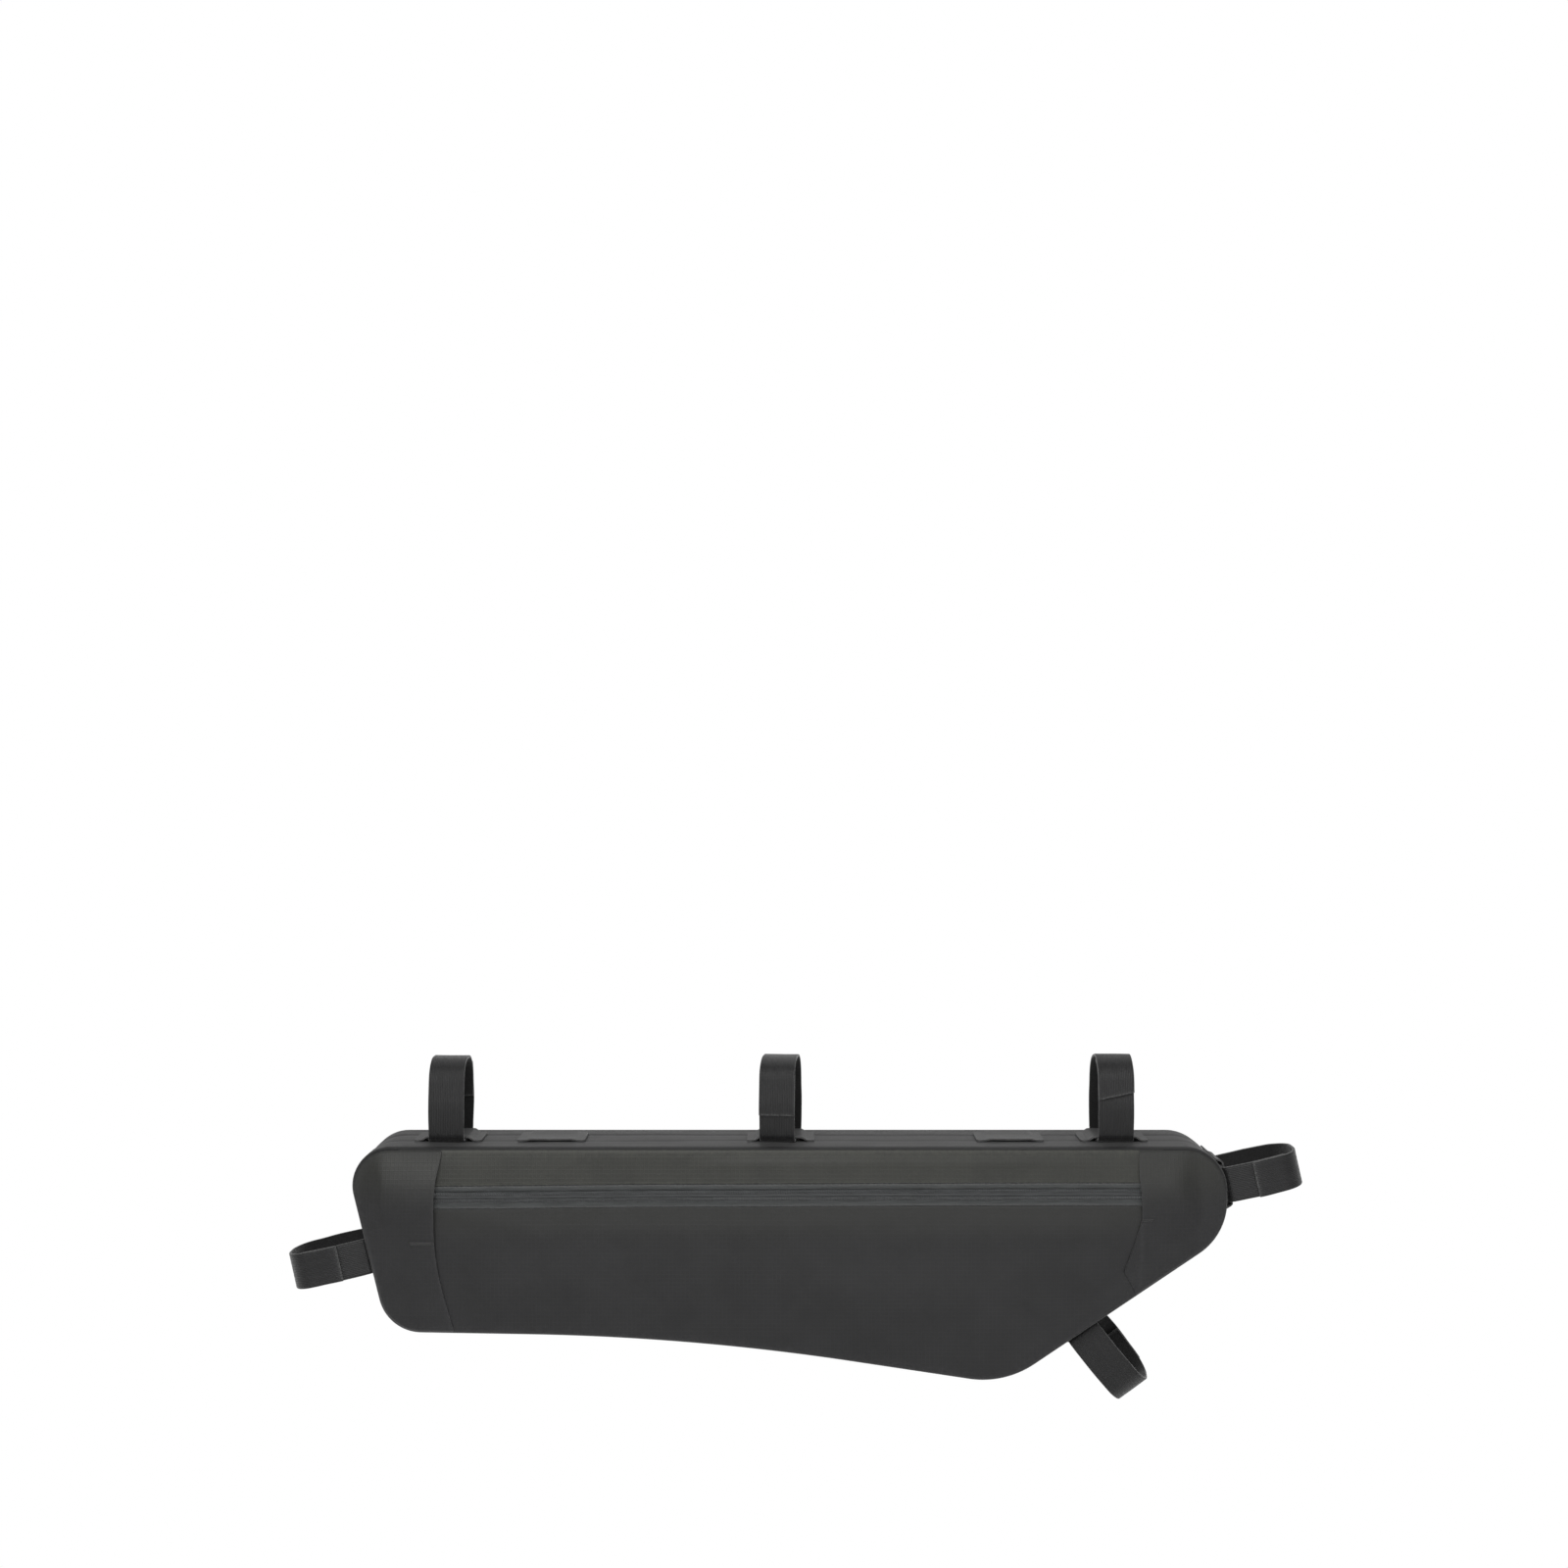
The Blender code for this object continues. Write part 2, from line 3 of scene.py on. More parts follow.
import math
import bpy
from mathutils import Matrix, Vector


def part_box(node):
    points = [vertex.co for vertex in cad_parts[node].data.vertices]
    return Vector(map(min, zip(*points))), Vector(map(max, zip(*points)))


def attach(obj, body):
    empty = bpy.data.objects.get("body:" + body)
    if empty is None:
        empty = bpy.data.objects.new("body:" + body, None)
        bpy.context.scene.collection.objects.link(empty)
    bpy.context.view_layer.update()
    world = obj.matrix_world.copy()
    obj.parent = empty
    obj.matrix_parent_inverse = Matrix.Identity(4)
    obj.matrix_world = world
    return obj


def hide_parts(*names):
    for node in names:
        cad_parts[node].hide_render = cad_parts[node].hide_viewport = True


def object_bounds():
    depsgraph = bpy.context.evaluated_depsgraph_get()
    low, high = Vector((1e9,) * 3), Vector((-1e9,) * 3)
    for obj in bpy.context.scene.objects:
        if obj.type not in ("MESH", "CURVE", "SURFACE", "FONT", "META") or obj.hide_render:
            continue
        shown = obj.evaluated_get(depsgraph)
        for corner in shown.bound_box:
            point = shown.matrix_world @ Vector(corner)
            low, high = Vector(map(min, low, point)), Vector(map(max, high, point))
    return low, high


bl_info = {
    "name": "Bicycle Frame Bag",
    "version": (1, 0, 0),
    "blender": (4, 5, 0),
    "location": "View3D > Sidebar > Frame Bag",
    "description": "Builds the cloth, zip, patches and straps of a half-frame bag over its solid model",
    "category": "Add Mesh",
}

import bmesh
import bpy
import numpy as np
from bpy.props import FloatProperty, FloatVectorProperty, PointerProperty
from bpy.types import Operator, Panel, PropertyGroup
from mathutils import Matrix, Vector

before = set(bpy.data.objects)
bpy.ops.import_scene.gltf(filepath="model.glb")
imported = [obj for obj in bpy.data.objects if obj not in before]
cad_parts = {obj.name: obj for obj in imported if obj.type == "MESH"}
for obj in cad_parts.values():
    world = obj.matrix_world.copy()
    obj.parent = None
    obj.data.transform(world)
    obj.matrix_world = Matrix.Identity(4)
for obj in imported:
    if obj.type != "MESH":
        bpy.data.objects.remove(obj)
CAD_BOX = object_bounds()
GUSSET_NODES = [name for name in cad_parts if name.startswith("gusset")]

MM = 0.001

# Side view of the bag, in order from the seat-tube top corner down and round: x from the middle strap,
# z from the top, and the radius of the corner, all in millimetres.
TOP = -24.5 * MM
CORNERS = (
    ("rear_top", -245.07, 0.0, 21.8),
    ("rear_bottom", -219.40, -103.51, 24.5),
    ("belly", -50.41, -106.43, 1373.0),
    ("lobe", 124.93, -132.70, 51.8),
    ("head_bottom", 249.32, -49.30, 35.4),
    ("head_top", 249.32, 0.0, 24.5),
)

# Shape across the bag
EDGE_RADIUS = 4.0 * MM
SEAM_ANGLE = math.radians(52)
BLEND_ANGLE = math.radians(80.5)
CROWN_REACH = 51.75 * MM
CROWN_RISE = 4.0 * MM
SOFT_CORNER = 8.0 * MM
BAND = 16.0 * MM

# The line down the middle of the side view that the panels' rows close on: x and z at both ends
SPINE = ((-205.0 * MM, -77.0 * MM), (206.0 * MM, -64.0 * MM))

# Middle panels run a little way under the end panels
MIDDLE_ENDS = (-212.2 * MM, 212.7 * MM)

# Free edges of the end panels: x, and z from the top, in millimetres
REAR_FLAP = (
    (-188.4, 12.0),
    (-188.6, -2.0),
    (-189.2, -9.0),
    (-191.0, -14.0),
    (-192.2, -33.0),
    (-191.9, -53.0),
    (-190.6, -66.0),
    (-187.9, -80.0),
    (-184.4, -93.0),
    (-180.1, -109.0),
    (-175.7, -126.0),
)
HEAD_FLAP = (
    (199.9, 12.0),
    (199.6, -6.6),
    (198.9, -13.0),
    (200.3, -27.0),
    (200.7, -53.0),
    (199.6, -77.0),
    (197.6, -90.0),
    (196.2, -126.0),
)

# Zip
ZIP_HEIGHT = -50.9 * MM
ZIP_RISE = 1.0 * MM
ZIP_BOW = 0.45 * MM
ZIP_SLOT = 12.8 * MM
COIL_PITCH = 1.3 * MM

# The zip's section in mm, from its top edge down: how far below its middle line a row lies, and how far
# it stands out from the panel
ZIP_SECTION = (
    (-13, -1.0),
    (-10, -1.0),
    (-7.4, -1.0),
    (-6.2, -0.75),
    (-5.8, -0.15),
    (-4.6, 0.0),
    (-3.6, -0.1),
    (-3.2, -0.45),
    (-2.9, -0.75),
    (0, -0.8),
    (2.9, -0.75),
    (3.3, -0.55),
    (3.9, -0.5),
    (4.3, -0.1),
    (5.2, 0.0),
    (6.0, -0.2),
    (6.3, -0.75),
    (7.4, -1.0),
    (10, -1.0),
    (13.0, -1.0),
)

# Columns of a strap's section that the fleece covers, from the first one
FLEECE_COLUMNS = 17

# Inner face of a strap loop, from the bag's front round to its back, over the tube and down. out is a
# share of the loop's length, depth and radius shares of its half depth.
LOOP_LENGTH = 44.0 * MM
LOOP_HALF_DEPTH = 16.0 * MM
LOOP_COLUMNS = ("depth", "out", "radius")
LOOP_CORNERS = (
    (-1.0, 0.0, 0.17),
    (1.0, 0.0, 0.17),
    (1.07, 0.42, 2.5),
    (0.86, 1.0, 0.78),
    (-0.86, 1.0, 0.78),
    (-1.07, 0.42, 2.5),
)

# Patches and the straps that they hold. edge and share place them on the outline, tilt and twist turn the
# loop, out is its length as a share of LOOP_LENGTH (0 where a patch is empty), lap_end and lap say where
# the strap's outer end lies and how much of it lies double, slant cuts that end at an angle.
ANCHOR_COLUMNS = ("name", "edge", "share", "tilt", "twist", "out", "lap_end", "lap", "slant")
ANCHORS = (
    ("top_rear", "head_top", 0.8855, 0.0, 0.0, 0.984, 0.52, 0.14, 0.0),
    ("top_rear_spare", "head_top", 0.7666, 0.0, 0.0, 0.0, 0.0, 0.0, 0.0),
    ("top_middle", "head_top", 0.5043, 0.0, -7.0, 1.0, 0.915, 0.16, 0.0),
    ("top_head_spare", "head_top", 0.2419, 0.0, 0.0, 0.0, 0.0, 0.0, 0.0),
    ("top_head", "head_top", 0.1220, 0.0, 0.0, 0.984, 0.84, 0.17, -12.0),
    ("seat_tube", "rear_top", 0.6060, -1.0, 0.0, 1.041, 0.90, 0.14, 0.0),
    ("head_tube", "head_bottom", 0.5130, 11.3, 0.0, 0.961, 0.90, 0.14, 0.0),
    ("down_tube", "lobe", 0.3625, 5.0, 9.0, 1.030, 0.52, 0.14, 0.0),
)


STUDIO_GLOW = 0.30


class Row:
    """One row of a table, read by its column names."""

    def __init__(self, columns, values):
        for column, value in zip(columns, values):
            setattr(self, column, value)


def span(node, axis):
    low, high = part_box(node)
    return high[axis] - low[axis]


def gusset_width():
    return span(GUSSET_NODES[0], 1) + 2 * MM


# ---------------------------------------------------------------- settings


class FrameBagSizes(PropertyGroup):
    """Sizes of the cloth parts that a user may change."""

    bag_width: FloatProperty(
        name="Bag width",
        description="Width across the two side panels at their edges",
        default=round(gusset_width(), 4),
        min=0.03,
        unit="LENGTH",
    )
    cloth: FloatProperty(
        name="Cloth thickness",
        description="Thickness of the coated body cloth",
        default=0.9 * MM,
        min=0.0002,
        unit="LENGTH",
    )
    fold_depth: FloatProperty(
        name="Fold depth",
        description="How deep the soft folds in the side panels are",
        default=0.75 * MM,
        min=0.0,
        unit="LENGTH",
    )
    strap_width: FloatProperty(
        name="Strap width",
        description="Width of the hook-and-loop straps",
        default=round(span("top_rear_strap", 0), 4),
        min=0.005,
        unit="LENGTH",
    )
    strap_thickness: FloatProperty(
        name="Strap thickness",
        description="Thickness of one layer of strap",
        default=1.6 * MM,
        min=0.0005,
        unit="LENGTH",
    )
    patch_length: FloatProperty(
        name="Patch length",
        description="Length of a strap patch along the gusset",
        default=round(span("top_middle_patch", 0), 4),
        min=0.01,
        unit="LENGTH",
    )
    patch_depth: FloatProperty(
        name="Patch depth",
        description="Depth of a strap patch across the gusset",
        default=round(span("top_middle_patch", 1), 4),
        min=0.01,
        unit="LENGTH",
    )
    grid_pitch: FloatProperty(
        name="Ripstop pitch",
        description="Distance between the reinforcing threads of the cloth",
        default=2.3 * MM,
        min=0.0005,
        unit="LENGTH",
    )


def colour(name, description, value):
    return FloatVectorProperty(
        name=name, description=description, default=value, size=3, min=0.0, max=1.0, subtype="COLOR"
    )


class FrameBagColours(PropertyGroup):
    """Colours of the bag's cloths and trims; the upper cloth holds a painted highlight and the gusset cloth a
    painted shade.
    """

    body: colour("Body cloth", "Colour of the side panels", (0.0125, 0.0125, 0.0132))
    # Painted highlight: the upper cloth is the body cloth drawn lighter and warmer, for the light that the
    # bag's upper part catches.
    highlight_olive: colour("Upper cloth", "Colour of the panel above the zip", (0.024, 0.0245, 0.020))
    # Painted shade: the gusset is drawn darker than the side cloth, for the shade on the upward-facing band.
    gusset: colour("Gusset cloth", "Colour of the band between the side panels", (0.0085, 0.0085, 0.0088))
    patch: colour("Patch", "Colour of the strap patches", (0.036, 0.036, 0.036))
    zip_tape: colour("Zip tape", "Colour of the woven zip tape", (0.040, 0.043, 0.043))
    zip_coil: colour("Zip coil", "Colour of the zip's coil", (0.034, 0.036, 0.037))
    slider: colour("Zip slider", "Colour of the painted zip slider", (0.03, 0.03, 0.03))
    strap: colour("Strap", "Colour of the straps' ribbed outside", (0.0075, 0.0075, 0.0078))
    nap: colour("Strap nap", "Colour of the straps' fleecy inside", (0.0055, 0.0055, 0.0056))


def sizes():
    return bpy.context.scene.frame_bag_sizes


def colours():
    return bpy.context.scene.frame_bag_colours


# ---------------------------------------------------------------- outline and surface of the bag


def rounded(corners, step):
    """Dense points and outward normals of a closed, anticlockwise outline with rounded corners."""
    arcs = []
    count = len(corners)
    for i, (point, radius) in enumerate(corners):
        arriving = (point - corners[i - 1][0]).normalized()
        leaving = (corners[(i + 1) % count][0] - point).normalized()
        bulges = 1.0 if arriving.cross(leaving) > 0 else -1.0
        turn = abs(arriving.angle_signed(leaving))
        inward = Vector((-arriving.y, arriving.x)) * bulges
        centre = point - arriving * (radius * math.tan(turn / 2)) + inward * radius
        parts = max(int(radius * turn / step), 4)
        arc = []
        for k in range(parts + 1):
            angle = turn * k / parts
            spoke = arriving * math.sin(angle) - inward * math.cos(angle)
            arc.append((centre + spoke * radius, spoke * bulges))
        arcs.append(arc)
    found = []
    for i, arc in enumerate(arcs):
        found.extend(arc)
        start, normal = arc[-1]
        run = arcs[(i + 1) % count][0][0] - start
        extra = int(run.length / step)
        found.extend((start + run * (k / (extra + 1)), normal) for k in range(1, extra + 1))
    return found


class Loop:
    """A closed outline read by distance along it."""

    def __init__(self, corners, step=0.5 * MM):
        ring = rounded(corners, step)
        ring.append(ring[0])
        self.points = np.array([tuple(p) for p, _ in ring])
        self.normals = np.array([tuple(n) for _, n in ring])
        runs = np.linalg.norm(np.diff(self.points, axis=0), axis=1)
        self.lengths = np.concatenate([[0.0], np.cumsum(runs)])
        self.total = self.lengths[-1]

    def at(self, distance):
        """Points and unit normals at these distances."""
        where = np.mod(distance, self.total)
        point = np.stack([np.interp(where, self.lengths, self.points[:, k]) for k in (0, 1)], -1)
        normal = np.stack([np.interp(where, self.lengths, self.normals[:, k]) for k in (0, 1)], -1)
        return point, normal / np.linalg.norm(normal, axis=-1, keepdims=True)

    def nearest(self, place):
        gaps = np.linalg.norm(self.points[:-1] - np.array(place), axis=1)
        return float(self.lengths[int(np.argmin(gaps))])


class BagOutline(Loop):
    """The bag's side view, with its upper and lower edge read by x."""

    def __init__(self):
        self.corners = {name: Vector((x * MM, z * MM + TOP)) for name, x, z, _ in CORNERS}
        super().__init__([(self.corners[name], radius * MM) for name, _, _, radius in CORNERS])
        xs = self.points[:-1, 0]
        low, high = int(np.argmin(xs)), int(np.argmax(xs))
        self.lower_x, self.lower_s = xs[low : high + 1], self.lengths[low : high + 1]
        last = len(xs)
        upper = list(range(high, last)) + list(range(0, low + 1))
        laps = [self.lengths[k] if k >= high else self.lengths[k] + self.total for k in upper]
        self.upper_x, self.upper_s = xs[upper][::-1], np.array(laps)[::-1]

    def lower(self, x):
        return np.interp(x, self.lower_x, self.lower_s)

    def upper(self, x):
        return np.interp(x, self.upper_x, self.upper_s)


OUTLINE = BagOutline()


def smooth(value, low, high):
    share = np.clip((value - low) / (high - low), 0.0, 1.0)
    return share * share * (3.0 - 2.0 * share)


def line_depth(a, b, x, z):
    """Distance inside the line from corner a to corner b."""
    start, run = OUTLINE.corners[a], OUTLINE.corners[b] - OUTLINE.corners[a]
    return ((z - start.y) * run.x - (x - start.x) * run.y) / run.length


def soft_depth(x, z):
    """Distance in from the outline, eased where two edges are as near."""
    foot, normal = OUTLINE.at(OUTLINE.lower(x))
    edges = (
        TOP - z,
        line_depth("rear_top", "rear_bottom", x, z),
        (z - foot[..., 1]) * np.maximum(-normal[..., 1], 0.3),
        line_depth("lobe", "head_bottom", x, z),
        OUTLINE.corners["head_top"].x - x,
    )
    total = -edges[0] / SOFT_CORNER
    for edge in edges[1:]:
        total = np.logaddexp(total, -edge / SOFT_CORNER)
    return np.maximum(-total * SOFT_CORNER, 0.0)


def stand_out(depth):
    """How far a side panel stands from the bag's middle plane at that depth in from the outline."""
    half = sizes().bag_width / 2
    start = EDGE_RADIUS * (1 - math.cos(BLEND_ANGLE))
    level = half - EDGE_RADIUS + EDGE_RADIUS * math.sin(BLEND_ANGLE)
    angle = np.arccos(np.clip(1 - depth / EDGE_RADIUS, -1, 1))
    edge = half - EDGE_RADIUS + EDGE_RADIUS * np.sin(angle)
    share = np.clip((depth - start) / (CROWN_REACH - start), 0.0, 1.0)
    crown = level + (half + CROWN_RISE - level) * (1 - (1 - share) ** 2)
    return np.where(depth < start, edge, crown)


def lattice(i, j, seed):
    """A repeatable value from 0 to 1 for each grid point."""
    mixed = (i * 374761393 + j * 668265263 + seed * 2246822519) & 0xFFFFFFFF
    mixed = ((mixed ^ (mixed >> 13)) * 1274126177) & 0xFFFFFFFF
    return ((mixed ^ (mixed >> 16)) & 0xFFFF) / 65535.0


def ripple(u, v, seed):
    """Smooth noise from -1 to 1 over a unit grid."""
    i, j = np.floor(u).astype(np.int64), np.floor(v).astype(np.int64)
    a, b = u - i, v - j
    a, b = a * a * a * (a * (a * 6 - 15) + 10), b * b * b * (b * (b * 6 - 15) + 10)
    low = lattice(i, j, seed) * (1 - a) + lattice(i + 1, j, seed) * a
    high = lattice(i, j + 1, seed) * (1 - a) + lattice(i + 1, j + 1, seed) * a
    return (low * (1 - b) + high * b) * 2 - 1


# Soft folds of the front: the line's two ends as x and z in millimetres, half width, height and bow
FOLD_COLUMNS = ("x0", "z0", "x1", "z1", "half", "height", "bow")
FRONT_FOLDS = (
    (-60.0, -33.5, 178.0, -32.6, 2.6, 0.40, 0.6),
    (-150.0, -69.5, 60.0, -66.5, 5.0, 0.55, -1.5),
    (-182.0, -62.0, -120.0, -78.0, 6.0, 0.45, 2.0),
    (-30.0, -96.0, 90.0, -118.0, 9.0, 0.50, 3.0),
    (60.0, -74.0, 190.0, -70.0, 6.0, 0.40, 2.0),
    (110.0, -92.0, 170.0, -124.0, 7.0, 0.45, -3.0),
    (-175.0, -100.0, -70.0, -112.0, 7.0, 0.45, 2.0),
    (-231.0, -45.0, -206.0, -96.0, 5.0, 0.50, 2.0),
    (214.0, -38.0, 236.0, -68.0, 5.0, 0.45, -2.0),
)
BACK_FOLDS = (
    (-200.0, -50.0, 150.0, -44.0, 6.0, 0.45, 4.0),
    (-160.0, -88.0, 40.0, -80.0, 8.0, 0.55, -5.0),
    (30.0, -70.0, 200.0, -60.0, 8.0, 0.50, 4.0),
    (20.0, -110.0, 130.0, -134.0, 7.0, 0.50, 3.0),
    (-215.0, -90.0, -120.0, -112.0, 7.0, 0.45, 3.0),
    (130.0, -100.0, 205.0, -84.0, 7.0, 0.45, -4.0),
)


def fold_height(x, z, folds, seed):
    """How far the cloth's soft folds lift it, in metres."""
    lift = ripple(x / 0.075, z / 0.048, seed) * 0.55 + ripple(x / 0.030, z / 0.021, seed + 1) * 0.20
    lift = lift + ripple(x / 0.011 + z / 0.03, z / 0.008, seed + 2) * 0.05
    for values in folds:
        fold = Row(FOLD_COLUMNS, values)
        run_x, run_z = (fold.x1 - fold.x0) * MM, (fold.z1 - fold.z0) * MM
        length = math.hypot(run_x, run_z)
        along = ((x - fold.x0 * MM) * run_x + (z - fold.z0 * MM) * run_z) / length**2
        across = ((x - fold.x0 * MM) * -run_z + (z - fold.z0 * MM) * run_x) / length
        across = across - fold.bow * MM * 4 * along * (1 - along)
        fade = smooth(along, -0.08, 0.22) * (1 - smooth(along, 0.78, 1.08))
        lift = lift + fold.height * fade * np.exp(-((across / (fold.half * MM)) ** 2))
    return lift * sizes().fold_depth


def zip_line(x):
    share = x / (200.0 * MM)
    return ZIP_HEIGHT + ZIP_RISE * share + ZIP_BOW * (1 - share * share)


def flap_x(edge, z):
    """x of an end panel's free edge at height z, with the table's kinks eased."""
    xs, zs = np.array(edge).T[:, ::-1] * MM
    drop = z - TOP
    steps = np.linspace(-5 * MM, 5 * MM, 7)
    return sum(np.interp(drop + step, zs, xs) for step in steps) / len(steps)


def bump_at(z, x, half_height):
    return np.exp(-(((z - zip_line(x)) / half_height) ** 2))


def rear_lift(x, z):
    """How far the rear end panel stands out over the middle panels, the zip and its slider."""
    open_part = smooth(-z, 0.029, 0.047) * (1 - smooth(-z, 0.072, 0.108))
    rise = (0.95 + 1.0 * open_part + 2.3 * bump_at(z, x, 19 * MM)) * MM
    return rise * smooth(x, -0.2342, -0.2202)


def head_lift(x, z):
    """How far the head end panel stands out over the middle panels and the zip."""
    rise = (1.0 + 2.0 * bump_at(z, x, 14 * MM)) * MM
    return rise * (1 - smooth(x, 0.2207, 0.2347))


def no_lift(x, z):
    return np.zeros_like(x)


def surface_y(side, x, z, depth, lift, folds, seed):
    """y of a side panel's outer face. side is -1 for the front and 1 for the back."""
    out = stand_out(depth)
    ease = smooth(depth, 2.5 * MM, 11 * MM)
    return side * (out + fold_height(x, z, folds, seed) * ease + lift(x, z) * smooth(depth, 0.0, 3 * MM))


# ---------------------------------------------------------------- grids of cloth


def edge_rows():
    """Depths in from the outline over the rounded edge and the band beside it."""
    angles = np.linspace(SEAM_ANGLE, BLEND_ANGLE, 5)
    arc = EDGE_RADIUS * (1 - np.cos(angles))
    return np.concatenate([arc, np.array([4.2, 5.4, 6.8, 8.4, 10.2, 12.1, 14.0]) * MM, [BAND]])


def column_at(kind, value):
    """Distance along the outline and the spine point of one column."""
    (rear_x, rear_z), (head_x, head_z) = SPINE
    if kind == "top":
        foot, x = OUTLINE.upper(value), value
    elif kind == "bottom":
        foot, x = OUTLINE.lower(value), value
    else:
        foot, x = value, (rear_x if OUTLINE.at(value)[0][0] < 0 else head_x)
    x = min(max(x, rear_x), head_x)
    share = (x - rear_x) / (head_x - rear_x)
    return foot, (x, rear_z + (head_z - rear_z) * share)


def fan_columns(start, end, step):
    """Columns round an end of the bag between two distances along the outline."""
    count = max(int(abs(end - start) / step), 8)
    return [("fan", value) for value in np.linspace(start, end, count + 1)[1:-1]]


def side_grid(columns, shares, warp=None):
    """x, z and depth of a grid: rows from the seam inward, then shares of the way on to the spine."""
    depths = edge_rows()
    rows = len(depths) + len(shares)
    x, z, depth = (np.zeros((rows, len(columns))) for _ in range(3))
    for c, (kind, value) in enumerate(columns):
        foot, spine = column_at(kind, value)
        for r in range(rows):
            for _ in range(3):
                point, normal = OUTLINE.at(foot)
                inset = depths[r] if r < len(depths) else BAND
                place = point - normal * inset
                if r >= len(depths):
                    place = place + (np.array(spine) - place) * shares[r - len(depths)]
                if warp is None or kind == "fan":
                    break
                wanted = warp(value, place[1])
                foot, spine = column_at(kind, wanted)
            x[r, c], z[r, c] = place
            depth[r, c] = inset
            if warp is not None and kind != "fan":
                foot, spine = column_at(kind, value)
    soft = soft_depth(x, z)
    ease = smooth(depth, 5 * MM, BAND)
    return x, z, depth * (1 - ease) + soft * ease


def grid_normals(grid, closed):
    if closed:
        wide = np.concatenate([grid[:, -1:], grid, grid[:, :1]], axis=1)
        across = wide[:, 2:] - wide[:, :-2]
    else:
        across = np.gradient(grid, axis=1)
    along = np.gradient(grid, axis=0)
    normal = np.cross(across, along)
    length = np.linalg.norm(normal, axis=-1, keepdims=True)
    return normal / np.maximum(length, 1e-12)


def arc_lengths(grid, axis):
    runs = np.linalg.norm(np.diff(grid, axis=axis), axis=-1)
    total = np.cumsum(runs, axis=axis)
    pad = [(0, 0), (0, 0)]
    pad[axis] = (1, 0)
    return np.pad(total, pad)


def cloth_mesh(name, outer, inner, uv, closed=False, worn=None):
    """A thin closed sheet from two grids of points, its cloth map in metres and its mask of wear and painted
    highlight.
    """
    rows, cols = outer.shape[:2]
    index = np.arange(rows * cols).reshape(rows, cols)
    right = np.concatenate([index[:, 1:], index[:, :1]], axis=1) if closed else index[:, 1:]
    left = index if closed else index[:, :-1]
    quads = np.stack([left[:-1], right[:-1], right[1:], left[1:]], -1).reshape(-1, 4)
    wide = uv if not closed else np.concatenate([uv, uv[:, :1] + [uv[0, -1, 0] * cols / (cols - 1), 0]], 1)

    def corner(r0, c0):
        return wide[r0 : rows - 1 + r0, c0 : wide.shape[1] - 1 + c0].reshape(-1, 2)

    maps = np.stack([corner(0, 0), corner(0, 1), corner(1, 1), corner(1, 0)], 1)
    far = quads[:, ::-1] + rows * cols
    far_maps = maps[:, ::-1]
    rims = []
    rim_maps = []
    borders = [index[0], index[-1][::-1]]
    flat = uv.reshape(-1, 2)
    if closed:
        borders = [np.append(index[0], index[0, 0]), np.append(index[-1][::-1], index[-1, -1])]
    else:
        borders += [index[::-1, 0], index[:, -1]]
    for border in borders:
        a, b = border[:-1], border[1:]
        rims.append(np.stack([b, a, a + rows * cols, b + rows * cols], -1))
        rim_maps.append(np.stack([flat[b], flat[a], flat[a] + 1 * MM, flat[b] + 1 * MM], 1))
    faces = np.concatenate([quads, far, *rims])
    maps = np.concatenate([maps, far_maps, *rim_maps])
    points = np.concatenate([outer.reshape(-1, 3), inner.reshape(-1, 3)])
    mesh = bpy.data.meshes.new(name)
    mesh.from_pydata(points.tolist(), [], faces.tolist())
    layer = mesh.uv_layers.new(name="cloth")
    layer.data.foreach_set("uv", maps.reshape(-1).astype(np.float32))
    if worn is not None:
        mask = mesh.attributes.new("worn", "FLOAT", "POINT")
        mask.data.foreach_set("value", np.concatenate([worn.reshape(-1)] * 2).astype(np.float32))
    return mesh


def tidy_mesh(mesh, sharp=38):
    """Welds points that coincide, faces the piece outward and keeps only its real edges sharp."""
    work = bmesh.new()
    work.from_mesh(mesh)
    bmesh.ops.remove_doubles(work, verts=work.verts, dist=2e-6)
    bmesh.ops.dissolve_degenerate(work, edges=work.edges, dist=1e-7)
    bmesh.ops.recalc_face_normals(work, faces=work.faces)
    for face in work.faces:
        face.smooth = True
    work.to_mesh(mesh)
    work.free()
    mesh.set_sharp_from_angle(angle=math.radians(sharp))


def place_piece(name, mesh, materials, nodes):
    """Adds the piece, hides the solids that it stands for and lets it ride on the bag."""
    obj = bpy.data.objects.new(name, mesh)
    bpy.context.scene.collection.objects.link(obj)
    for material in materials:
        obj.data.materials.append(material)
    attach(obj, "root")
    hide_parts(*nodes)
    return obj


def panel_piece(name, side, x, z, depth, lift, folds, seed, material, worn, closed=False):
    """A side panel from its grid in the side view."""
    y = surface_y(side, x, z, depth, lift, folds, seed)
    outer = np.stack([x, y, z], -1)
    normal = grid_normals(outer, closed)
    if (normal[..., 1] * side).mean() < 0:
        normal = -normal
    inner = outer - normal * sizes().cloth
    uv = np.stack([x, z], -1)
    mesh = cloth_mesh(name, outer, inner, uv, closed, worn)
    if closed:
        layer = mesh.uv_layers["cloth"]
        ids = np.zeros(len(mesh.loops), np.int32)
        mesh.loops.foreach_get("vertex_index", ids)
        flat = np.concatenate([uv.reshape(-1, 2)] * 2)
        layer.data.foreach_set("uv", flat[ids].reshape(-1).astype(np.float32))
    tidy_mesh(mesh)
    return place_piece(name, mesh, [material], [name])


def edge_falloff(depth, width):
    return np.exp(-((depth / width) ** 2))


# ---------------------------------------------------------------- materials


def new_group(name, inputs, outputs):
    group = bpy.data.node_groups.new(name, "ShaderNodeTree")
    for label, kind, value in inputs:
        socket = group.interface.new_socket(label, in_out="INPUT", socket_type=kind)
        if value is not None:
            socket.default_value = value
    for label, kind in outputs:
        group.interface.new_socket(label, in_out="OUTPUT", socket_type=kind)
    start = group.nodes.new("NodeGroupInput")
    end = group.nodes.new("NodeGroupOutput")
    return group, start, end


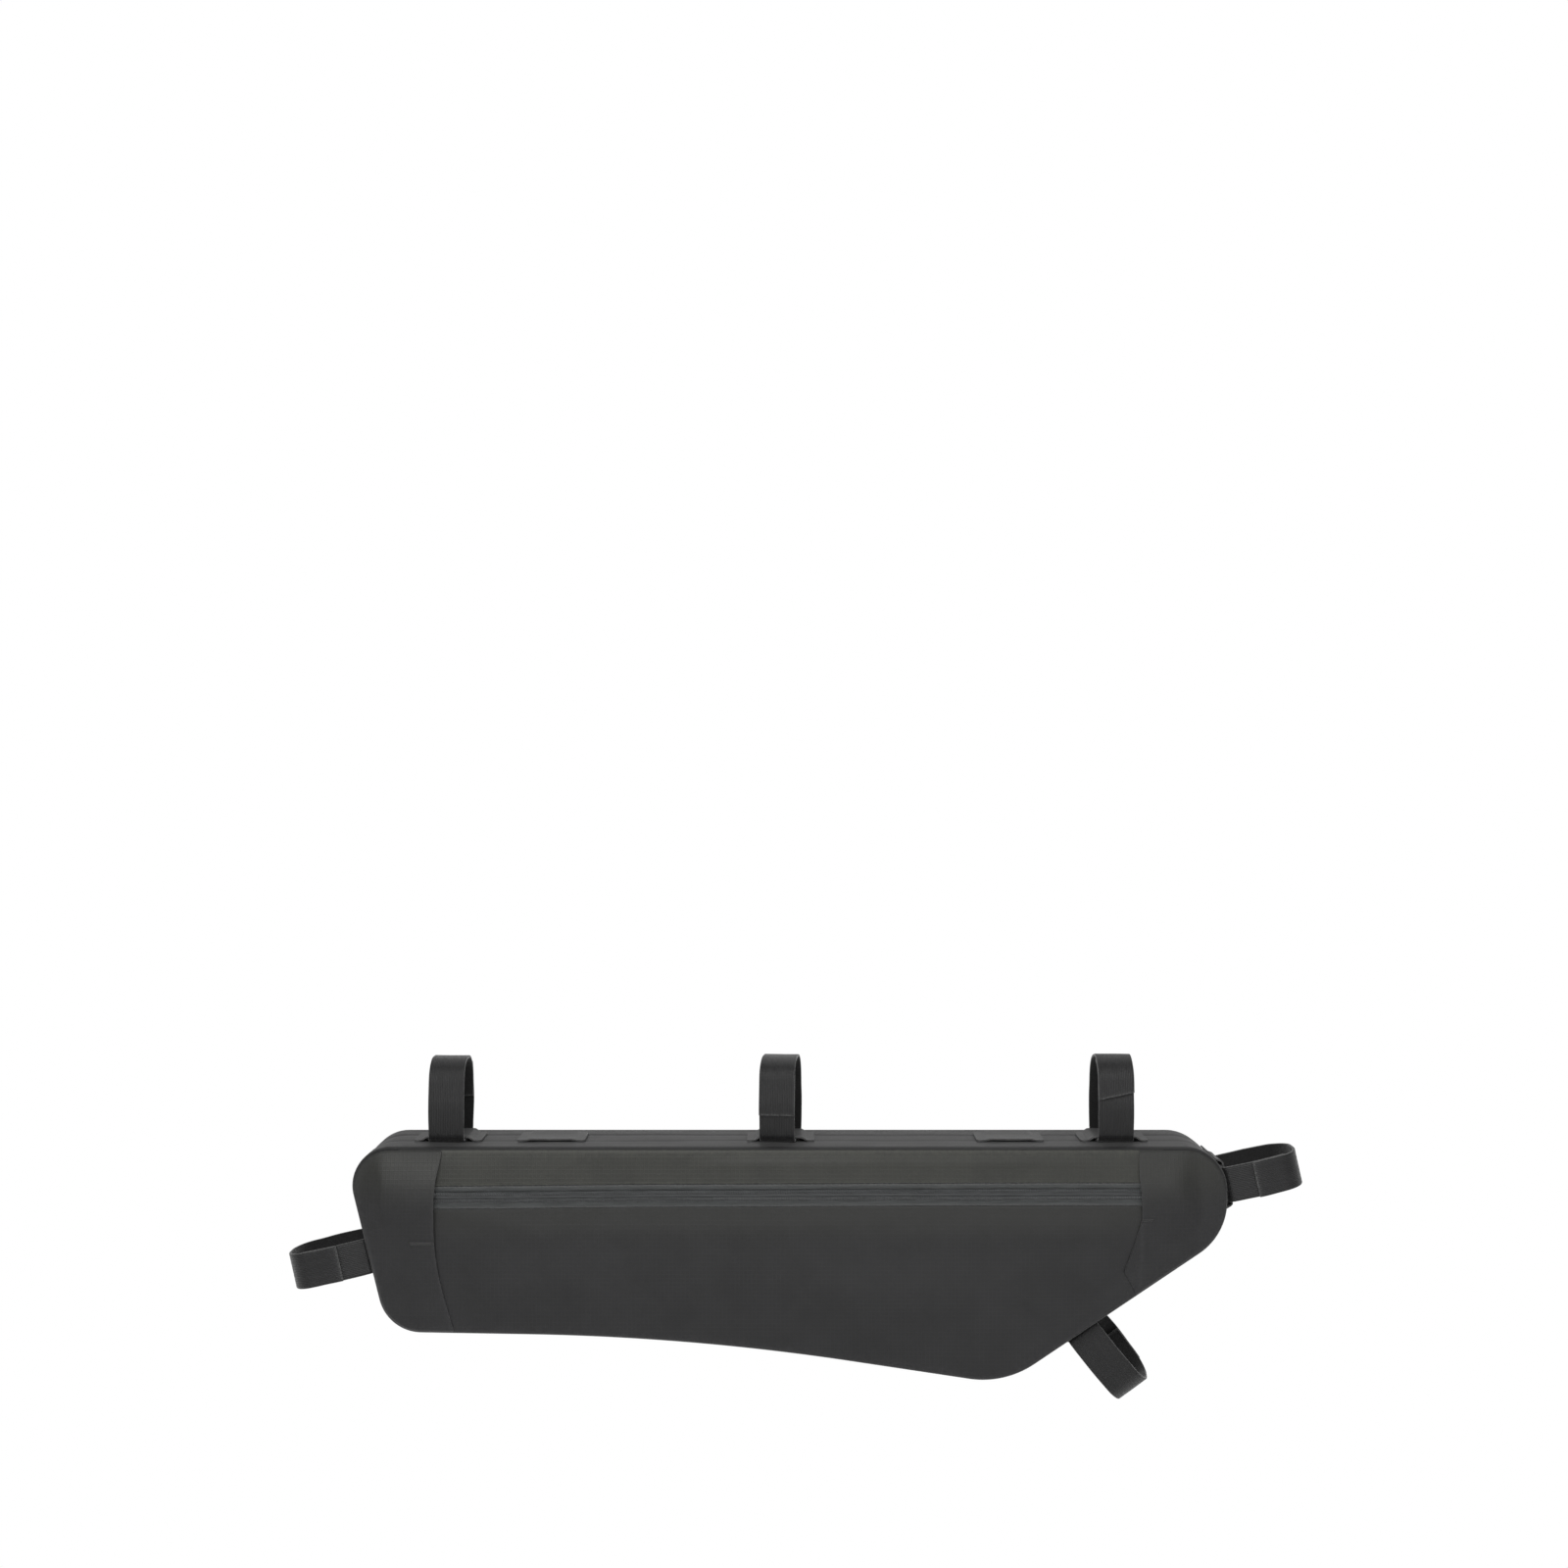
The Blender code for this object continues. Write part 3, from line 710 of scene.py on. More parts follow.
class Tree:
    """Short forms for building a node tree."""

    def __init__(self, tree):
        self.tree = tree

    def link(self, source, target):
        self.tree.links.new(source, target)

    def put(self, socket, value):
        if isinstance(value, bpy.types.NodeSocket):
            self.link(value, socket)
        else:
            socket.default_value = value

    def math(self, kind, *values):
        node = self.tree.nodes.new("ShaderNodeMath")
        node.operation = kind
        for socket, value in zip(node.inputs, values):
            self.put(socket, value)
        return node.outputs[0]

    def split(self, vector):
        node = self.tree.nodes.new("ShaderNodeSeparateXYZ")
        self.link(vector, node.inputs[0])
        return node.outputs

    def noise(self, vector, scale, detail, rough=0.5):
        node = self.tree.nodes.new("ShaderNodeTexNoise")
        self.link(vector, node.inputs["Vector"])
        self.put(node.inputs["Scale"], scale)
        self.put(node.inputs["Detail"], detail)
        self.put(node.inputs["Roughness"], rough)
        return node.outputs["Fac"]

    def mix(self, share, low, high):
        node = self.tree.nodes.new("ShaderNodeMix")
        node.data_type = "RGBA"
        self.put(node.inputs["Factor"], share)
        self.put(node.inputs["A"], low)
        self.put(node.inputs["B"], high)
        return node.outputs["Result"]

    def ramp(self, value, low, high, to_low=0.0, to_high=1.0):
        node = self.tree.nodes.new("ShaderNodeMapRange")
        node.interpolation_type = "SMOOTHSTEP"
        self.put(node.inputs["Value"], value)
        for label, number in (("From Min", low), ("From Max", high), ("To Min", to_low), ("To Max", to_high)):
            self.put(node.inputs[label], number)
        return node.outputs["Result"]


def wave(tree, value, pitch):
    """A cosine from 0 to 1 with that pitch."""
    turns = tree.math("DIVIDE", value, pitch)
    turns = tree.math("MULTIPLY", turns, 2 * math.pi)
    return tree.math("MULTIPLY_ADD", tree.math("COSINE", turns), 0.5, 0.5)


def weave_group():
    """Plain weave with a ripstop grid: threads' height, the grid's mask and a slow mottling."""
    group, start, end = new_group(
        "Ripstop weave",
        [
            ("Cloth", "NodeSocketVector", None),
            ("Grid pitch", "NodeSocketFloat", 0.0023),
            ("Thread pitch", "NodeSocketFloat", 0.0006),
            ("Grid height", "NodeSocketFloat", 0.6),
        ],
        [
            ("Height", "NodeSocketFloat"),
            ("Grid", "NodeSocketFloat"),
            ("Mottle", "NodeSocketFloat"),
        ],
    )
    t = Tree(group)
    cloth = start.outputs["Cloth"]
    u, v, _ = t.split(cloth)
    lines = [t.math("POWER", wave(t, axis, start.outputs["Grid pitch"]), 14.0) for axis in (u, v)]
    grid = t.math("MAXIMUM", lines[0], t.math("MULTIPLY", lines[1], 1.0))
    threads = [wave(t, axis, start.outputs["Thread pitch"]) for axis in (u, v)]
    weave = t.math("MULTIPLY", t.math("MAXIMUM", *threads), 0.35)
    uneven = t.noise(cloth, 900.0, 2.0)
    height = t.math("MULTIPLY_ADD", grid, start.outputs["Grid height"], weave)
    height = t.math("MULTIPLY_ADD", uneven, 0.35, height)
    slow = t.noise(cloth, 28.0, 4.0, 0.6)
    t.link(height, end.inputs["Height"])
    t.link(t.math("MULTIPLY", grid, t.ramp(t.noise(cloth, 55.0, 2.0), 0.25, 0.7)), end.inputs["Grid"])
    t.link(slow, end.inputs["Mottle"])
    return group


def wear_and_glint_group():
    """Lighter edges, partly rubbed wear and partly painted highlight: the piece's own mask, broken up by a
    noise, and scattered fine lint.
    """
    group, start, end = new_group(
        "Rubbed edges",
        [
            ("Cloth", "NodeSocketVector", None),
            ("Worn", "NodeSocketFloat", 0.0),
            ("Break up", "NodeSocketFloat", 300.0),
        ],
        [("Wear", "NodeSocketFloat"), ("Lint", "NodeSocketFloat")],
    )
    t = Tree(group)
    cloth = start.outputs["Cloth"]
    patchy = t.noise(cloth, start.outputs["Break up"], 3.0, 0.6)
    t.link(t.math("MULTIPLY", start.outputs["Worn"], t.ramp(patchy, 0.25, 0.75)), end.inputs["Wear"])
    fine = t.noise(cloth, 1500.0, 2.0, 0.7)
    t.link(t.ramp(fine, 0.66, 0.82), end.inputs["Lint"])
    return group


def rib_group():
    """Ribs that run along a strap or a zip tape, crossed by finer threads."""
    group, start, end = new_group(
        "Ribbed webbing",
        [
            ("Cloth", "NodeSocketVector", None),
            ("Rib pitch", "NodeSocketFloat", 0.0009),
            ("Thread pitch", "NodeSocketFloat", 0.0007),
            ("Slant", "NodeSocketFloat", 0.0),
        ],
        [("Height", "NodeSocketFloat"), ("Rib", "NodeSocketFloat"), ("Streak", "NodeSocketFloat")],
    )
    t = Tree(group)
    cloth = start.outputs["Cloth"]
    u, v, _ = t.split(cloth)
    leaned = t.math("MULTIPLY_ADD", u, start.outputs["Slant"], v)
    rib = wave(t, leaned, start.outputs["Rib pitch"])
    cross = wave(t, u, start.outputs["Thread pitch"])
    height = t.math("MULTIPLY_ADD", cross, 0.35, rib)
    height = t.math("MULTIPLY_ADD", t.noise(cloth, 1400.0, 2.0, 0.6), 0.6, height)
    stretch = group.nodes.new("ShaderNodeMapping")
    stretch.inputs["Scale"].default_value = (60.0, 1100.0, 1.0)
    t.link(cloth, stretch.inputs["Vector"])
    t.link(height, end.inputs["Height"])
    t.link(rib, end.inputs["Rib"])
    t.link(t.noise(stretch.outputs["Vector"], 1.0, 3.0, 0.6), end.inputs["Streak"])
    return group


def shared_group(name, make):
    return bpy.data.node_groups.get(name) or make()


def start_material(name):
    material = bpy.data.materials.new(name)
    material.use_nodes = True
    t = Tree(material.node_tree)
    shader = material.node_tree.nodes["Principled BSDF"]
    cloth = material.node_tree.nodes.new("ShaderNodeUVMap")
    cloth.uv_map = "cloth"
    return material, t, shader, cloth.outputs["UV"]


def add_group(t, name, make, **values):
    node = t.tree.nodes.new("ShaderNodeGroup")
    node.node_tree = shared_group(name, make)
    for label, value in values.items():
        t.put(node.inputs[label.replace("_", " ")], value)
    return node


def bump(t, shader, height, strength, distance):
    node = t.tree.nodes.new("ShaderNodeBump")
    node.inputs["Strength"].default_value = strength
    node.inputs["Distance"].default_value = distance
    t.link(height, node.inputs["Height"])
    t.link(node.outputs["Normal"], shader.inputs["Normal"])


def wear_and_glint_mask(t):
    node = t.tree.nodes.new("ShaderNodeAttribute")
    node.attribute_name = "worn"
    return node.outputs["Fac"]


def tint(value, times):
    return tuple(min(channel * times, 1.0) for channel in value) + (1.0,)


def coated_cloth(name, base, highlight_tone=None, highlight_share=None, rough=0.5, sheen=0.15, grid=0.6):
    """Coated ripstop cloth, with an optional painted highlight: a lighter tone that shows where the given
    share function says.
    """
    material, t, shader, cloth = start_material(name)
    weave = add_group(
        t, "Ripstop weave", weave_group, Cloth=cloth, Grid_pitch=sizes().grid_pitch, Grid_height=grid
    )
    wear_glint = add_group(t, "Rubbed edges", wear_and_glint_group, Cloth=cloth, Worn=wear_and_glint_mask(t))
    mottle = t.ramp(weave.outputs["Mottle"], 0.30, 0.70)
    tone = t.mix(mottle, tint(base, 0.84), tint(base, 1.16))
    if highlight_tone is not None:
        # Painted highlight: the lighter tone mixed in where the share function says.
        tone = t.mix(highlight_share(t, cloth), tone, (*highlight_tone, 1.0))
    tone = t.mix(t.math("MULTIPLY", weave.outputs["Grid"], 0.30), tone, tint(base, 1.9))
    # Lighter where the piece's mask says: rubbed wear, and painted highlight along a patch's cut edges.
    tone = t.mix(t.math("MULTIPLY", wear_glint.outputs["Wear"], 0.55), tone, tint(base, 3.2))
    tone = t.mix(t.math("MULTIPLY", wear_glint.outputs["Lint"], 0.10), tone, (0.30, 0.30, 0.29, 1.0))
    t.link(tone, shader.inputs["Base Color"])
    dull = t.math("MULTIPLY_ADD", weave.outputs["Mottle"], 0.16, rough - 0.08)
    t.link(t.math("MULTIPLY_ADD", wear_glint.outputs["Wear"], 0.12, dull), shader.inputs["Roughness"])
    shader.inputs["Sheen Weight"].default_value = sheen
    shader.inputs["Sheen Roughness"].default_value = 0.45
    shader.inputs["Specular IOR Level"].default_value = 0.42
    bump(t, shader, weave.outputs["Height"], 0.55, 0.00012)
    return material


def webbing(name, base, rib_pitch, thread_pitch, edge_tone, rough=0.55, slant=0.0, depth=0.00018, sheen=0.3):
    """Woven band: ribs along its length, streaks of lighter yarn, and a paler tone where the piece's mask
    says: pale fuzz at a strap's selvedge, a line along the zip tape and a painted highlight on the zip coil's
    crests.
    """
    material, t, shader, cloth = start_material(name)
    ribs = add_group(
        t,
        "Ribbed webbing",
        rib_group,
        Cloth=cloth,
        Rib_pitch=rib_pitch,
        Thread_pitch=thread_pitch,
        Slant=slant,
    )
    wear_glint = add_group(t, "Rubbed edges", wear_and_glint_group, Cloth=cloth, Worn=wear_and_glint_mask(t), Break_up=900.0)
    tone = t.mix(t.ramp(ribs.outputs["Streak"], 0.35, 0.70), tint(base, 0.75), tint(base, 1.45))
    tone = t.mix(t.math("MULTIPLY", ribs.outputs["Rib"], 0.35), tone, tint(base, 1.8))
    # Paler where the piece's mask says; on the zip coil this is a painted highlight on the crests.
    tone = t.mix(t.math("MULTIPLY", wear_glint.outputs["Wear"], 0.9), tone, (*edge_tone, 1.0))
    tone = t.mix(t.math("MULTIPLY", wear_glint.outputs["Lint"], 0.18), tone, (0.22, 0.22, 0.22, 1.0))
    t.link(tone, shader.inputs["Base Color"])
    t.link(t.math("MULTIPLY_ADD", ribs.outputs["Streak"], 0.2, rough - 0.1), shader.inputs["Roughness"])
    shader.inputs["Sheen Weight"].default_value = sheen
    shader.inputs["Sheen Roughness"].default_value = 0.4
    shader.inputs["Specular IOR Level"].default_value = 0.4
    bump(t, shader, ribs.outputs["Height"], 0.7, depth)
    return material


def fleece(name, base):
    """The strap's looped inside: short dense pile that drinks the light."""
    material, t, shader, cloth = start_material(name)
    wear_glint = add_group(t, "Rubbed edges", wear_and_glint_group, Cloth=cloth, Worn=wear_and_glint_mask(t), Break_up=1200.0)
    tufts = t.noise(cloth, 1900.0, 3.0, 0.75)
    clumps = t.noise(cloth, 420.0, 3.0, 0.6)
    tone = t.mix(t.ramp(tufts, 0.35, 0.7), tint(base, 0.6), tint(base, 1.9))
    tone = t.mix(t.math("MULTIPLY", wear_glint.outputs["Wear"], 0.8), tone, (0.16, 0.16, 0.16, 1.0))
    tone = t.mix(t.math("MULTIPLY", wear_glint.outputs["Lint"], 0.25), tone, (0.20, 0.20, 0.20, 1.0))
    t.link(tone, shader.inputs["Base Color"])
    t.link(t.ramp(clumps, 0.2, 0.8, 0.85, 1.0), shader.inputs["Roughness"])
    shader.inputs["Sheen Weight"].default_value = 0.25
    shader.inputs["Sheen Roughness"].default_value = 0.6
    shader.inputs["Specular IOR Level"].default_value = 0.15
    bump(t, shader, t.math("MULTIPLY_ADD", clumps, 0.8, tufts), 0.9, 0.00035)
    return material


def painted_metal(name, base):
    material, t, shader, cloth = start_material(name)
    wear_glint = add_group(t, "Rubbed edges", wear_and_glint_group, Cloth=cloth, Worn=wear_and_glint_mask(t), Break_up=700.0)
    tone = t.mix(wear_glint.outputs["Wear"], (*base, 1.0), (0.45, 0.45, 0.44, 1.0))
    t.link(tone, shader.inputs["Base Color"])
    pits = t.noise(cloth, 1600.0, 2.0)
    t.link(t.ramp(pits, 0.2, 0.8, 0.28, 0.46), shader.inputs["Roughness"])
    shader.inputs["Metallic"].default_value = 0.6
    bump(t, shader, pits, 0.3, 0.00004)
    return material


# ---------------------------------------------------------------- pieces


def full_spread(step):
    """Columns all the way round a side panel, and how its rows run to the spine."""
    rear, head = SPINE[0][0], SPINE[1][0]
    xs = np.linspace(rear, head, int((head - rear) / step) + 1)
    lower = [("bottom", x) for x in xs]
    front = fan_columns(float(OUTLINE.lower(head)), float(OUTLINE.upper(head)), step)
    upper = [("top", x) for x in xs[::-1]]
    back = fan_columns(float(OUTLINE.upper(rear)), float(OUTLINE.lower(rear)) + OUTLINE.total, step)
    return lower + front + upper + back


def build_back_panel(material):
    columns = full_spread(2.2 * MM)
    x, z, depth = side_grid(columns, np.linspace(0, 1, 17)[1:])
    worn = edge_falloff(depth, 5 * MM)
    panel_piece(
        "back_panel", 1, x, z, depth, no_lift, BACK_FOLDS, 40, material, worn, closed=True
    )


def build_gusset(material):
    """The band between the side panels, with two long fold lines, bent over the rounded edge at each seam."""
    half = sizes().bag_width / 2
    reach = SEAM_ANGLE - math.radians(2)
    angles = np.linspace(reach, 0, 6)
    flat = np.linspace(-1, 1, 27)[1:-1] * (half - EDGE_RADIUS)
    bend = [
        (half - EDGE_RADIUS + EDGE_RADIUS * math.sin(angle), EDGE_RADIUS * (1 - math.cos(angle)))
        for angle in angles
    ]
    across = [(-y, drop) for y, drop in bend] + [(y, 0.0) for y in flat] + bend[::-1]
    y = np.array([a for a, _ in across])[:, None]
    inset = np.array([b for _, b in across])[:, None]
    count = 620
    where = np.arange(count) * OUTLINE.total / count
    point, normal = OUTLINE.at(where)
    tension = ripple(where / 0.05, where * 0 + 3.3, 7)
    fold_y = (9.5 + 1.4 * ripple(where / 0.09, where * 0 + 1.7, 8)) * MM
    dip = np.exp(-(((np.abs(y) - fold_y) / (1.5 * MM)) ** 2)) * (0.45 + 0.15 * tension) * MM
    between = smooth(np.abs(y) - fold_y, 3 * MM, -2 * MM) * -0.15 * MM
    wavy = ripple(where / 0.026, y / 0.018, 9) * 0.16 * MM * smooth(half - np.abs(y), 4 * MM, 10 * MM)
    rise = -dip + between + wavy
    place = point[None] - normal[None] * (inset - rise)[..., None]
    outer = np.stack([place[..., 0], np.broadcast_to(y, place.shape[:2]), place[..., 1]], -1)
    faces_out = grid_normals(outer, True)
    middle = np.array([0.0, 0.0, -0.078])
    if ((outer - middle) * faces_out).sum(-1).mean() < 0:
        faces_out = -faces_out
    inner = outer - faces_out * sizes().cloth
    uv = np.stack([np.broadcast_to(where, place.shape[:2]), arc_lengths(outer, 0)], -1)
    worn = np.broadcast_to(edge_falloff(half - np.abs(y), 2.2 * MM), place.shape[:2])
    worn = worn + 0.35 * np.exp(-(((np.abs(y) - fold_y) / (2.2 * MM)) ** 2))
    mesh = cloth_mesh("gusset", outer, inner, uv, True, np.clip(worn, 0, 1))
    tidy_mesh(mesh)
    place_piece("gusset", mesh, [material], GUSSET_NODES)


def build_upper_panel(material):
    xs = np.linspace(*MIDDLE_ENDS, 270)
    edge = edge_rows()
    slot = zip_line(xs) + ZIP_SLOT / 2
    rows = [edge[:, None] + 0 * xs]
    last = TOP - slot
    rows.append(BAND + (last - BAND) * np.array([0.35, 0.7, 0.9, 1.0])[:, None])
    depth = np.concatenate(rows)
    x = np.broadcast_to(xs, depth.shape)
    z = TOP - depth
    worn = np.maximum(edge_falloff(depth, 4 * MM), 0.8 * edge_falloff(last[None] - depth, 1.0 * MM))
    panel_piece(
        "upper_panel", -1, x, z, depth, no_lift, FRONT_FOLDS, 11, material, worn
    )


def build_lower_panel(material):
    xs = np.linspace(*MIDDLE_ENDS, 270)
    edge = edge_rows()
    foot, normal = OUTLINE.at(OUTLINE.lower(xs))
    top = np.stack([xs, zip_line(xs) - ZIP_SLOT / 2], -1)
    near = foot - normal * BAND
    shares = np.concatenate([[0.0, 0.012, 0.03], np.linspace(0.05, 0.97, 30)])
    upper = top[None] + (near - top)[None] * shares[:, None, None]
    band = foot[None] - normal[None] * edge[::-1][:, None, None]
    grid = np.concatenate([upper, band])
    x, z = grid[..., 0], grid[..., 1]
    exact = np.concatenate([np.full(len(shares), BAND), edge[::-1]])[:, None] + 0 * xs
    ease = smooth(exact, 5 * MM, BAND)
    depth = exact * (1 - ease) + soft_depth(x, z) * ease
    below = (zip_line(x) - ZIP_SLOT / 2) - z
    worn = np.maximum(edge_falloff(exact, 4 * MM), 0.8 * edge_falloff(below, 1.0 * MM))
    panel_piece(
        "lower_panel", -1, x, z, depth, no_lift, FRONT_FOLDS, 11, material, worn
    )


def build_end_panel(name, flap, spine_end, lift, material, seed):
    """An end panel: rows follow the outline round the end, and its free edge follows the flap line."""
    middle = flap_x(flap, np.array(-0.07))
    xs = np.linspace(float(middle), spine_end, 9)

    def warp(value, z):
        share = (value - spine_end) / (middle - spine_end)
        return float(spine_end + (flap_x(flap, np.array(z)) - spine_end) * share)

    upper = [("top", x) for x in xs]
    lower = [("bottom", x) for x in xs[::-1]]
    start, end = float(OUTLINE.upper(spine_end)), float(OUTLINE.lower(spine_end))
    if spine_end < 0:
        columns = upper + fan_columns(start, end + OUTLINE.total, 2.0 * MM) + lower
    else:
        columns = upper + fan_columns(start, end, 2.0 * MM) + lower
    x, z, depth = side_grid(columns, np.linspace(0, 1, 17)[1:], warp)
    free = np.abs(x - flap_x(flap, z))
    worn = np.maximum(edge_falloff(depth, 4 * MM), edge_falloff(free, 1.1 * MM))
    panel_piece(name, -1, x, z, depth, lift, FRONT_FOLDS, seed, material, worn)


def zip_surface(xs, below):
    """y of the panel's plain outer face at that distance below the zip's middle."""
    z = zip_line(xs) - below
    depth = soft_depth(xs + 0 * z, z)
    return surface_y(-1, xs + 0 * z, z, depth, no_lift, FRONT_FOLDS, 11), z


def strip_piece(name, xs, below, proud, thickness, materials, worn):
    """A band that runs along the zip; proud is its height over the panel's plain face."""
    x = np.broadcast_to(xs, proud.shape)
    y, z = zip_surface(x, below + 0 * x)
    outer = np.stack([x, y - proud, z], -1)
    inner = np.stack([x, y - proud + thickness, z], -1)
    uv = np.stack([x, below + 0 * x], -1)
    mesh = cloth_mesh(name, outer, inner, uv, False, worn)
    tidy_mesh(mesh)
    return place_piece(name, mesh, materials, [name])


def build_zip(tape, coil, metal):
    """Woven tape, two rows of coil and the slider that rests under the rear end panel."""
    start, end = MIDDLE_ENDS[0] + 0.4 * MM, MIDDLE_ENDS[1] - 0.4 * MM
    xs = np.linspace(start, end, 300)
    below, proud = np.array(ZIP_SECTION).T
    below = (below * MM)[:, None]
    proud = (proud * MM)[:, None] + ripple(xs[None] / 0.013, below / 0.006, 21) * 0.06 * MM
    worn = np.exp(-(((np.abs(below) - 5.9 * MM) / (0.5 * MM)) ** 2)) + 0 * proud
    strip_piece("zip_tape", xs, below, proud, 0.6 * MM, [tape], worn)

    dense = np.linspace(start, end, int((end - start) / (COIL_PITCH / 4)))
    rows = []
    for middle, half, height in ((-1.75, 1.15, 0.85), (1.85, 1.2, 1.0)):
        for share, level in ((-1.0, 0.0), (-0.8, 0.7), (-0.4, 1.0), (0.15, 1.0), (0.7, 0.8), (1.0, 0.0)):
            rows.append((middle + half * share, height * level))
    below = np.array([a for a, _ in rows])[:, None] * MM
    level = np.array([b for _, b in rows])[:, None] * MM
    lean = np.sign(below) * 0.6 * below
    tooth = 0.5 + 0.5 * np.cos(2 * math.pi * (dense[None] + lean) / COIL_PITCH)
    proud = -0.55 * MM + level * (0.45 + 0.55 * tooth**0.6)
    # Painted highlight: the crests of the taller, lower row of coil teeth are drawn lighter.
    worn = 0.5 * (level > 0.9 * MM) * tooth
    strip_piece("zip_coil", dense, below, proud, 0.5 * MM, [coil], worn)

    low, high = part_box("zip_slider")
    along = np.linspace(low[0] + 0.1 * MM, high[0] - 0.1 * MM, 15)
    half = (high[2] - low[2]) / 2
    below = np.linspace(-half, half, 13)[:, None]
    nose = 1 - 0.35 * smooth(along, high[0] - 4 * MM, high[0])
    shoulder = 1 - (np.abs(below) / half) ** 4
    proud = (0.75 + 1.5 * shoulder * (0.75 + 0.25 * nose)) * MM
    y, z = zip_surface(np.broadcast_to(along, proud.shape), below * nose)
    outer = np.stack([np.broadcast_to(along, proud.shape), y - proud, z], -1)
    inner = outer.copy()
    inner[..., 1] = y - 0.62 * MM
    uv = np.stack([outer[..., 0], outer[..., 2]], -1)
    worn = edge_falloff(half - np.abs(below), 0.8 * MM) + 0 * proud
    mesh = cloth_mesh("zip_slider", outer, inner, uv, False, worn)
    tidy_mesh(mesh)
    place_piece("zip_slider", mesh, [metal], ["zip_slider"])


class Anchor:
    """Where a patch or strap sits on the gusset, and the directions that it follows."""

    def __init__(self, row):
        names = [name for name, *_ in CORNERS]
        start = OUTLINE.corners[row.edge]
        end = OUTLINE.corners[names[(names.index(row.edge) + 1) % len(names)]]
        self.where = OUTLINE.nearest(start.lerp(end, row.share))
        point, normal = OUTLINE.at(self.where)
        self.point = Vector(point)
        self.outward = Matrix.Rotation(math.radians(row.tilt), 2) @ Vector(normal)
        self.along = Vector((self.outward.y, -self.outward.x))
        half = sizes().strap_width / 2
        reach = 0.0
        for step in np.linspace(-1.2, 1.2, 13):
            place = Vector(OUTLINE.at(self.where + half * step)[0]) - self.point
            if abs(place.dot(self.along)) <= half:
                reach = max(reach, place.dot(self.outward))
        self.base = reach + 0.3 * MM


def build_patch(row, material):
    """A strip welded to the gusset at both ends, raised over the strap that runs under it."""
    anchor = Anchor(row)
    name = f"{row.name}_patch"
    half, half_depth = sizes().patch_length / 2, sizes().patch_depth / 2
    thickness = 0.85 * MM
    roof = anchor.base + (sizes().strap_thickness + 0.12 * MM if row.out else 0.35 * MM)
    shares = np.linspace(-1, 1, 53)
    across = np.concatenate([[-1, -0.985, -0.95], np.linspace(-0.9, 0.9, 21), [0.95, 0.985, 1]]) * half_depth
    corner = 1.6 * MM
    spare = np.sqrt(np.maximum(corner**2 - np.maximum(np.abs(across) - (half_depth - corner), 0) ** 2, 0))
    reach = half - (corner - spare)
    along = shares[None] * reach[:, None]
    feet, feet_normal = OUTLINE.at(anchor.where + along)
    foot = feet + feet_normal * 0.25 * MM
    rise = 1 - smooth(np.abs(along), 11.6 * MM, 15.2 * MM)
    bow = 0.35 * MM * rise * (across[:, None] / half_depth) ** 4
    sag = 0.25 * MM * rise * ripple(along / 0.012, across[:, None] / 0.012, 5 + len(row.name))
    out, side = np.array(anchor.outward), np.array(anchor.along)
    over = np.array(anchor.point) - along[..., None] * side + out * (roof + bow + sag)[..., None]
    place = foot * (1 - rise[..., None]) + over * rise[..., None]
    low = np.stack([place[..., 0], np.broadcast_to(across[:, None], along.shape), place[..., 1]], -1)
    faces_out = grid_normals(low, False)
    if (faces_out[..., 0] * out[0] + faces_out[..., 2] * out[1]).mean() < 0:
        faces_out = -faces_out
    high = low + faces_out * thickness
    uv = np.stack([along, np.broadcast_to(across[:, None], along.shape)], -1)
    # Painted highlight along the patch's cut edges, and a lighter band where it bends up from each weld.
    worn = np.maximum(
        edge_falloff(half_depth - np.abs(across), 0.8 * MM)[:, None],
        edge_falloff(reach[:, None] - np.abs(along), 0.9 * MM),
    )
    worn = np.maximum(worn, 0.5 * np.exp(-(((np.abs(along) - 12.2 * MM) / (1.2 * MM)) ** 2)))
    mesh = cloth_mesh(name, high, low, uv, False, worn)
    tidy_mesh(mesh)
    place_piece(name, mesh, [material], [name])


def strap_path(row, step):
    """The strap's inner line and its outward normals, from its inner end round to its outer end."""
    out, half = row.out * LOOP_LENGTH, LOOP_HALF_DEPTH
    rows = [Row(LOOP_COLUMNS, values) for values in LOOP_CORNERS]
    loop = Loop([(Vector((c.depth * half, c.out * out)), c.radius * half) for c in rows], 0.4 * MM)
    first, last = (row.lap_end - row.lap) * loop.total, (row.lap_end + 1) * loop.total
    where = np.linspace(first, last, int((last - first) / step))
    covered = loop.total + first
    layer = sizes().strap_thickness + 0.3 * MM
    share = smooth(where, covered - 14 * MM, covered)
    return loop, where, share * layer


def strap_section():
    """Profile across a strap: offsets across and over its inner line, and a fuzz mask."""
    half, thick = sizes().strap_width / 2, sizes().strap_thickness
    inner = [(v * half, 0.04 * MM * (1 - v**2), 0.0) for v in np.linspace(-0.96, 0.96, 17)]
    right = [(half * 0.99, thick * 0.12, 0.8), (half, thick * 0.35, 1.0), (half, thick * 0.65, 1.0)]
    right.append((half * 0.99, thick * 0.88, 0.8))
    outer = [(v * half, thick - 0.05 * MM * (1 - v**2), 0.0) for v in np.linspace(0.96, -0.96, 17)]
    left = [(-v, h, f) for v, h, f in reversed(right)]
    return inner + right + outer + left


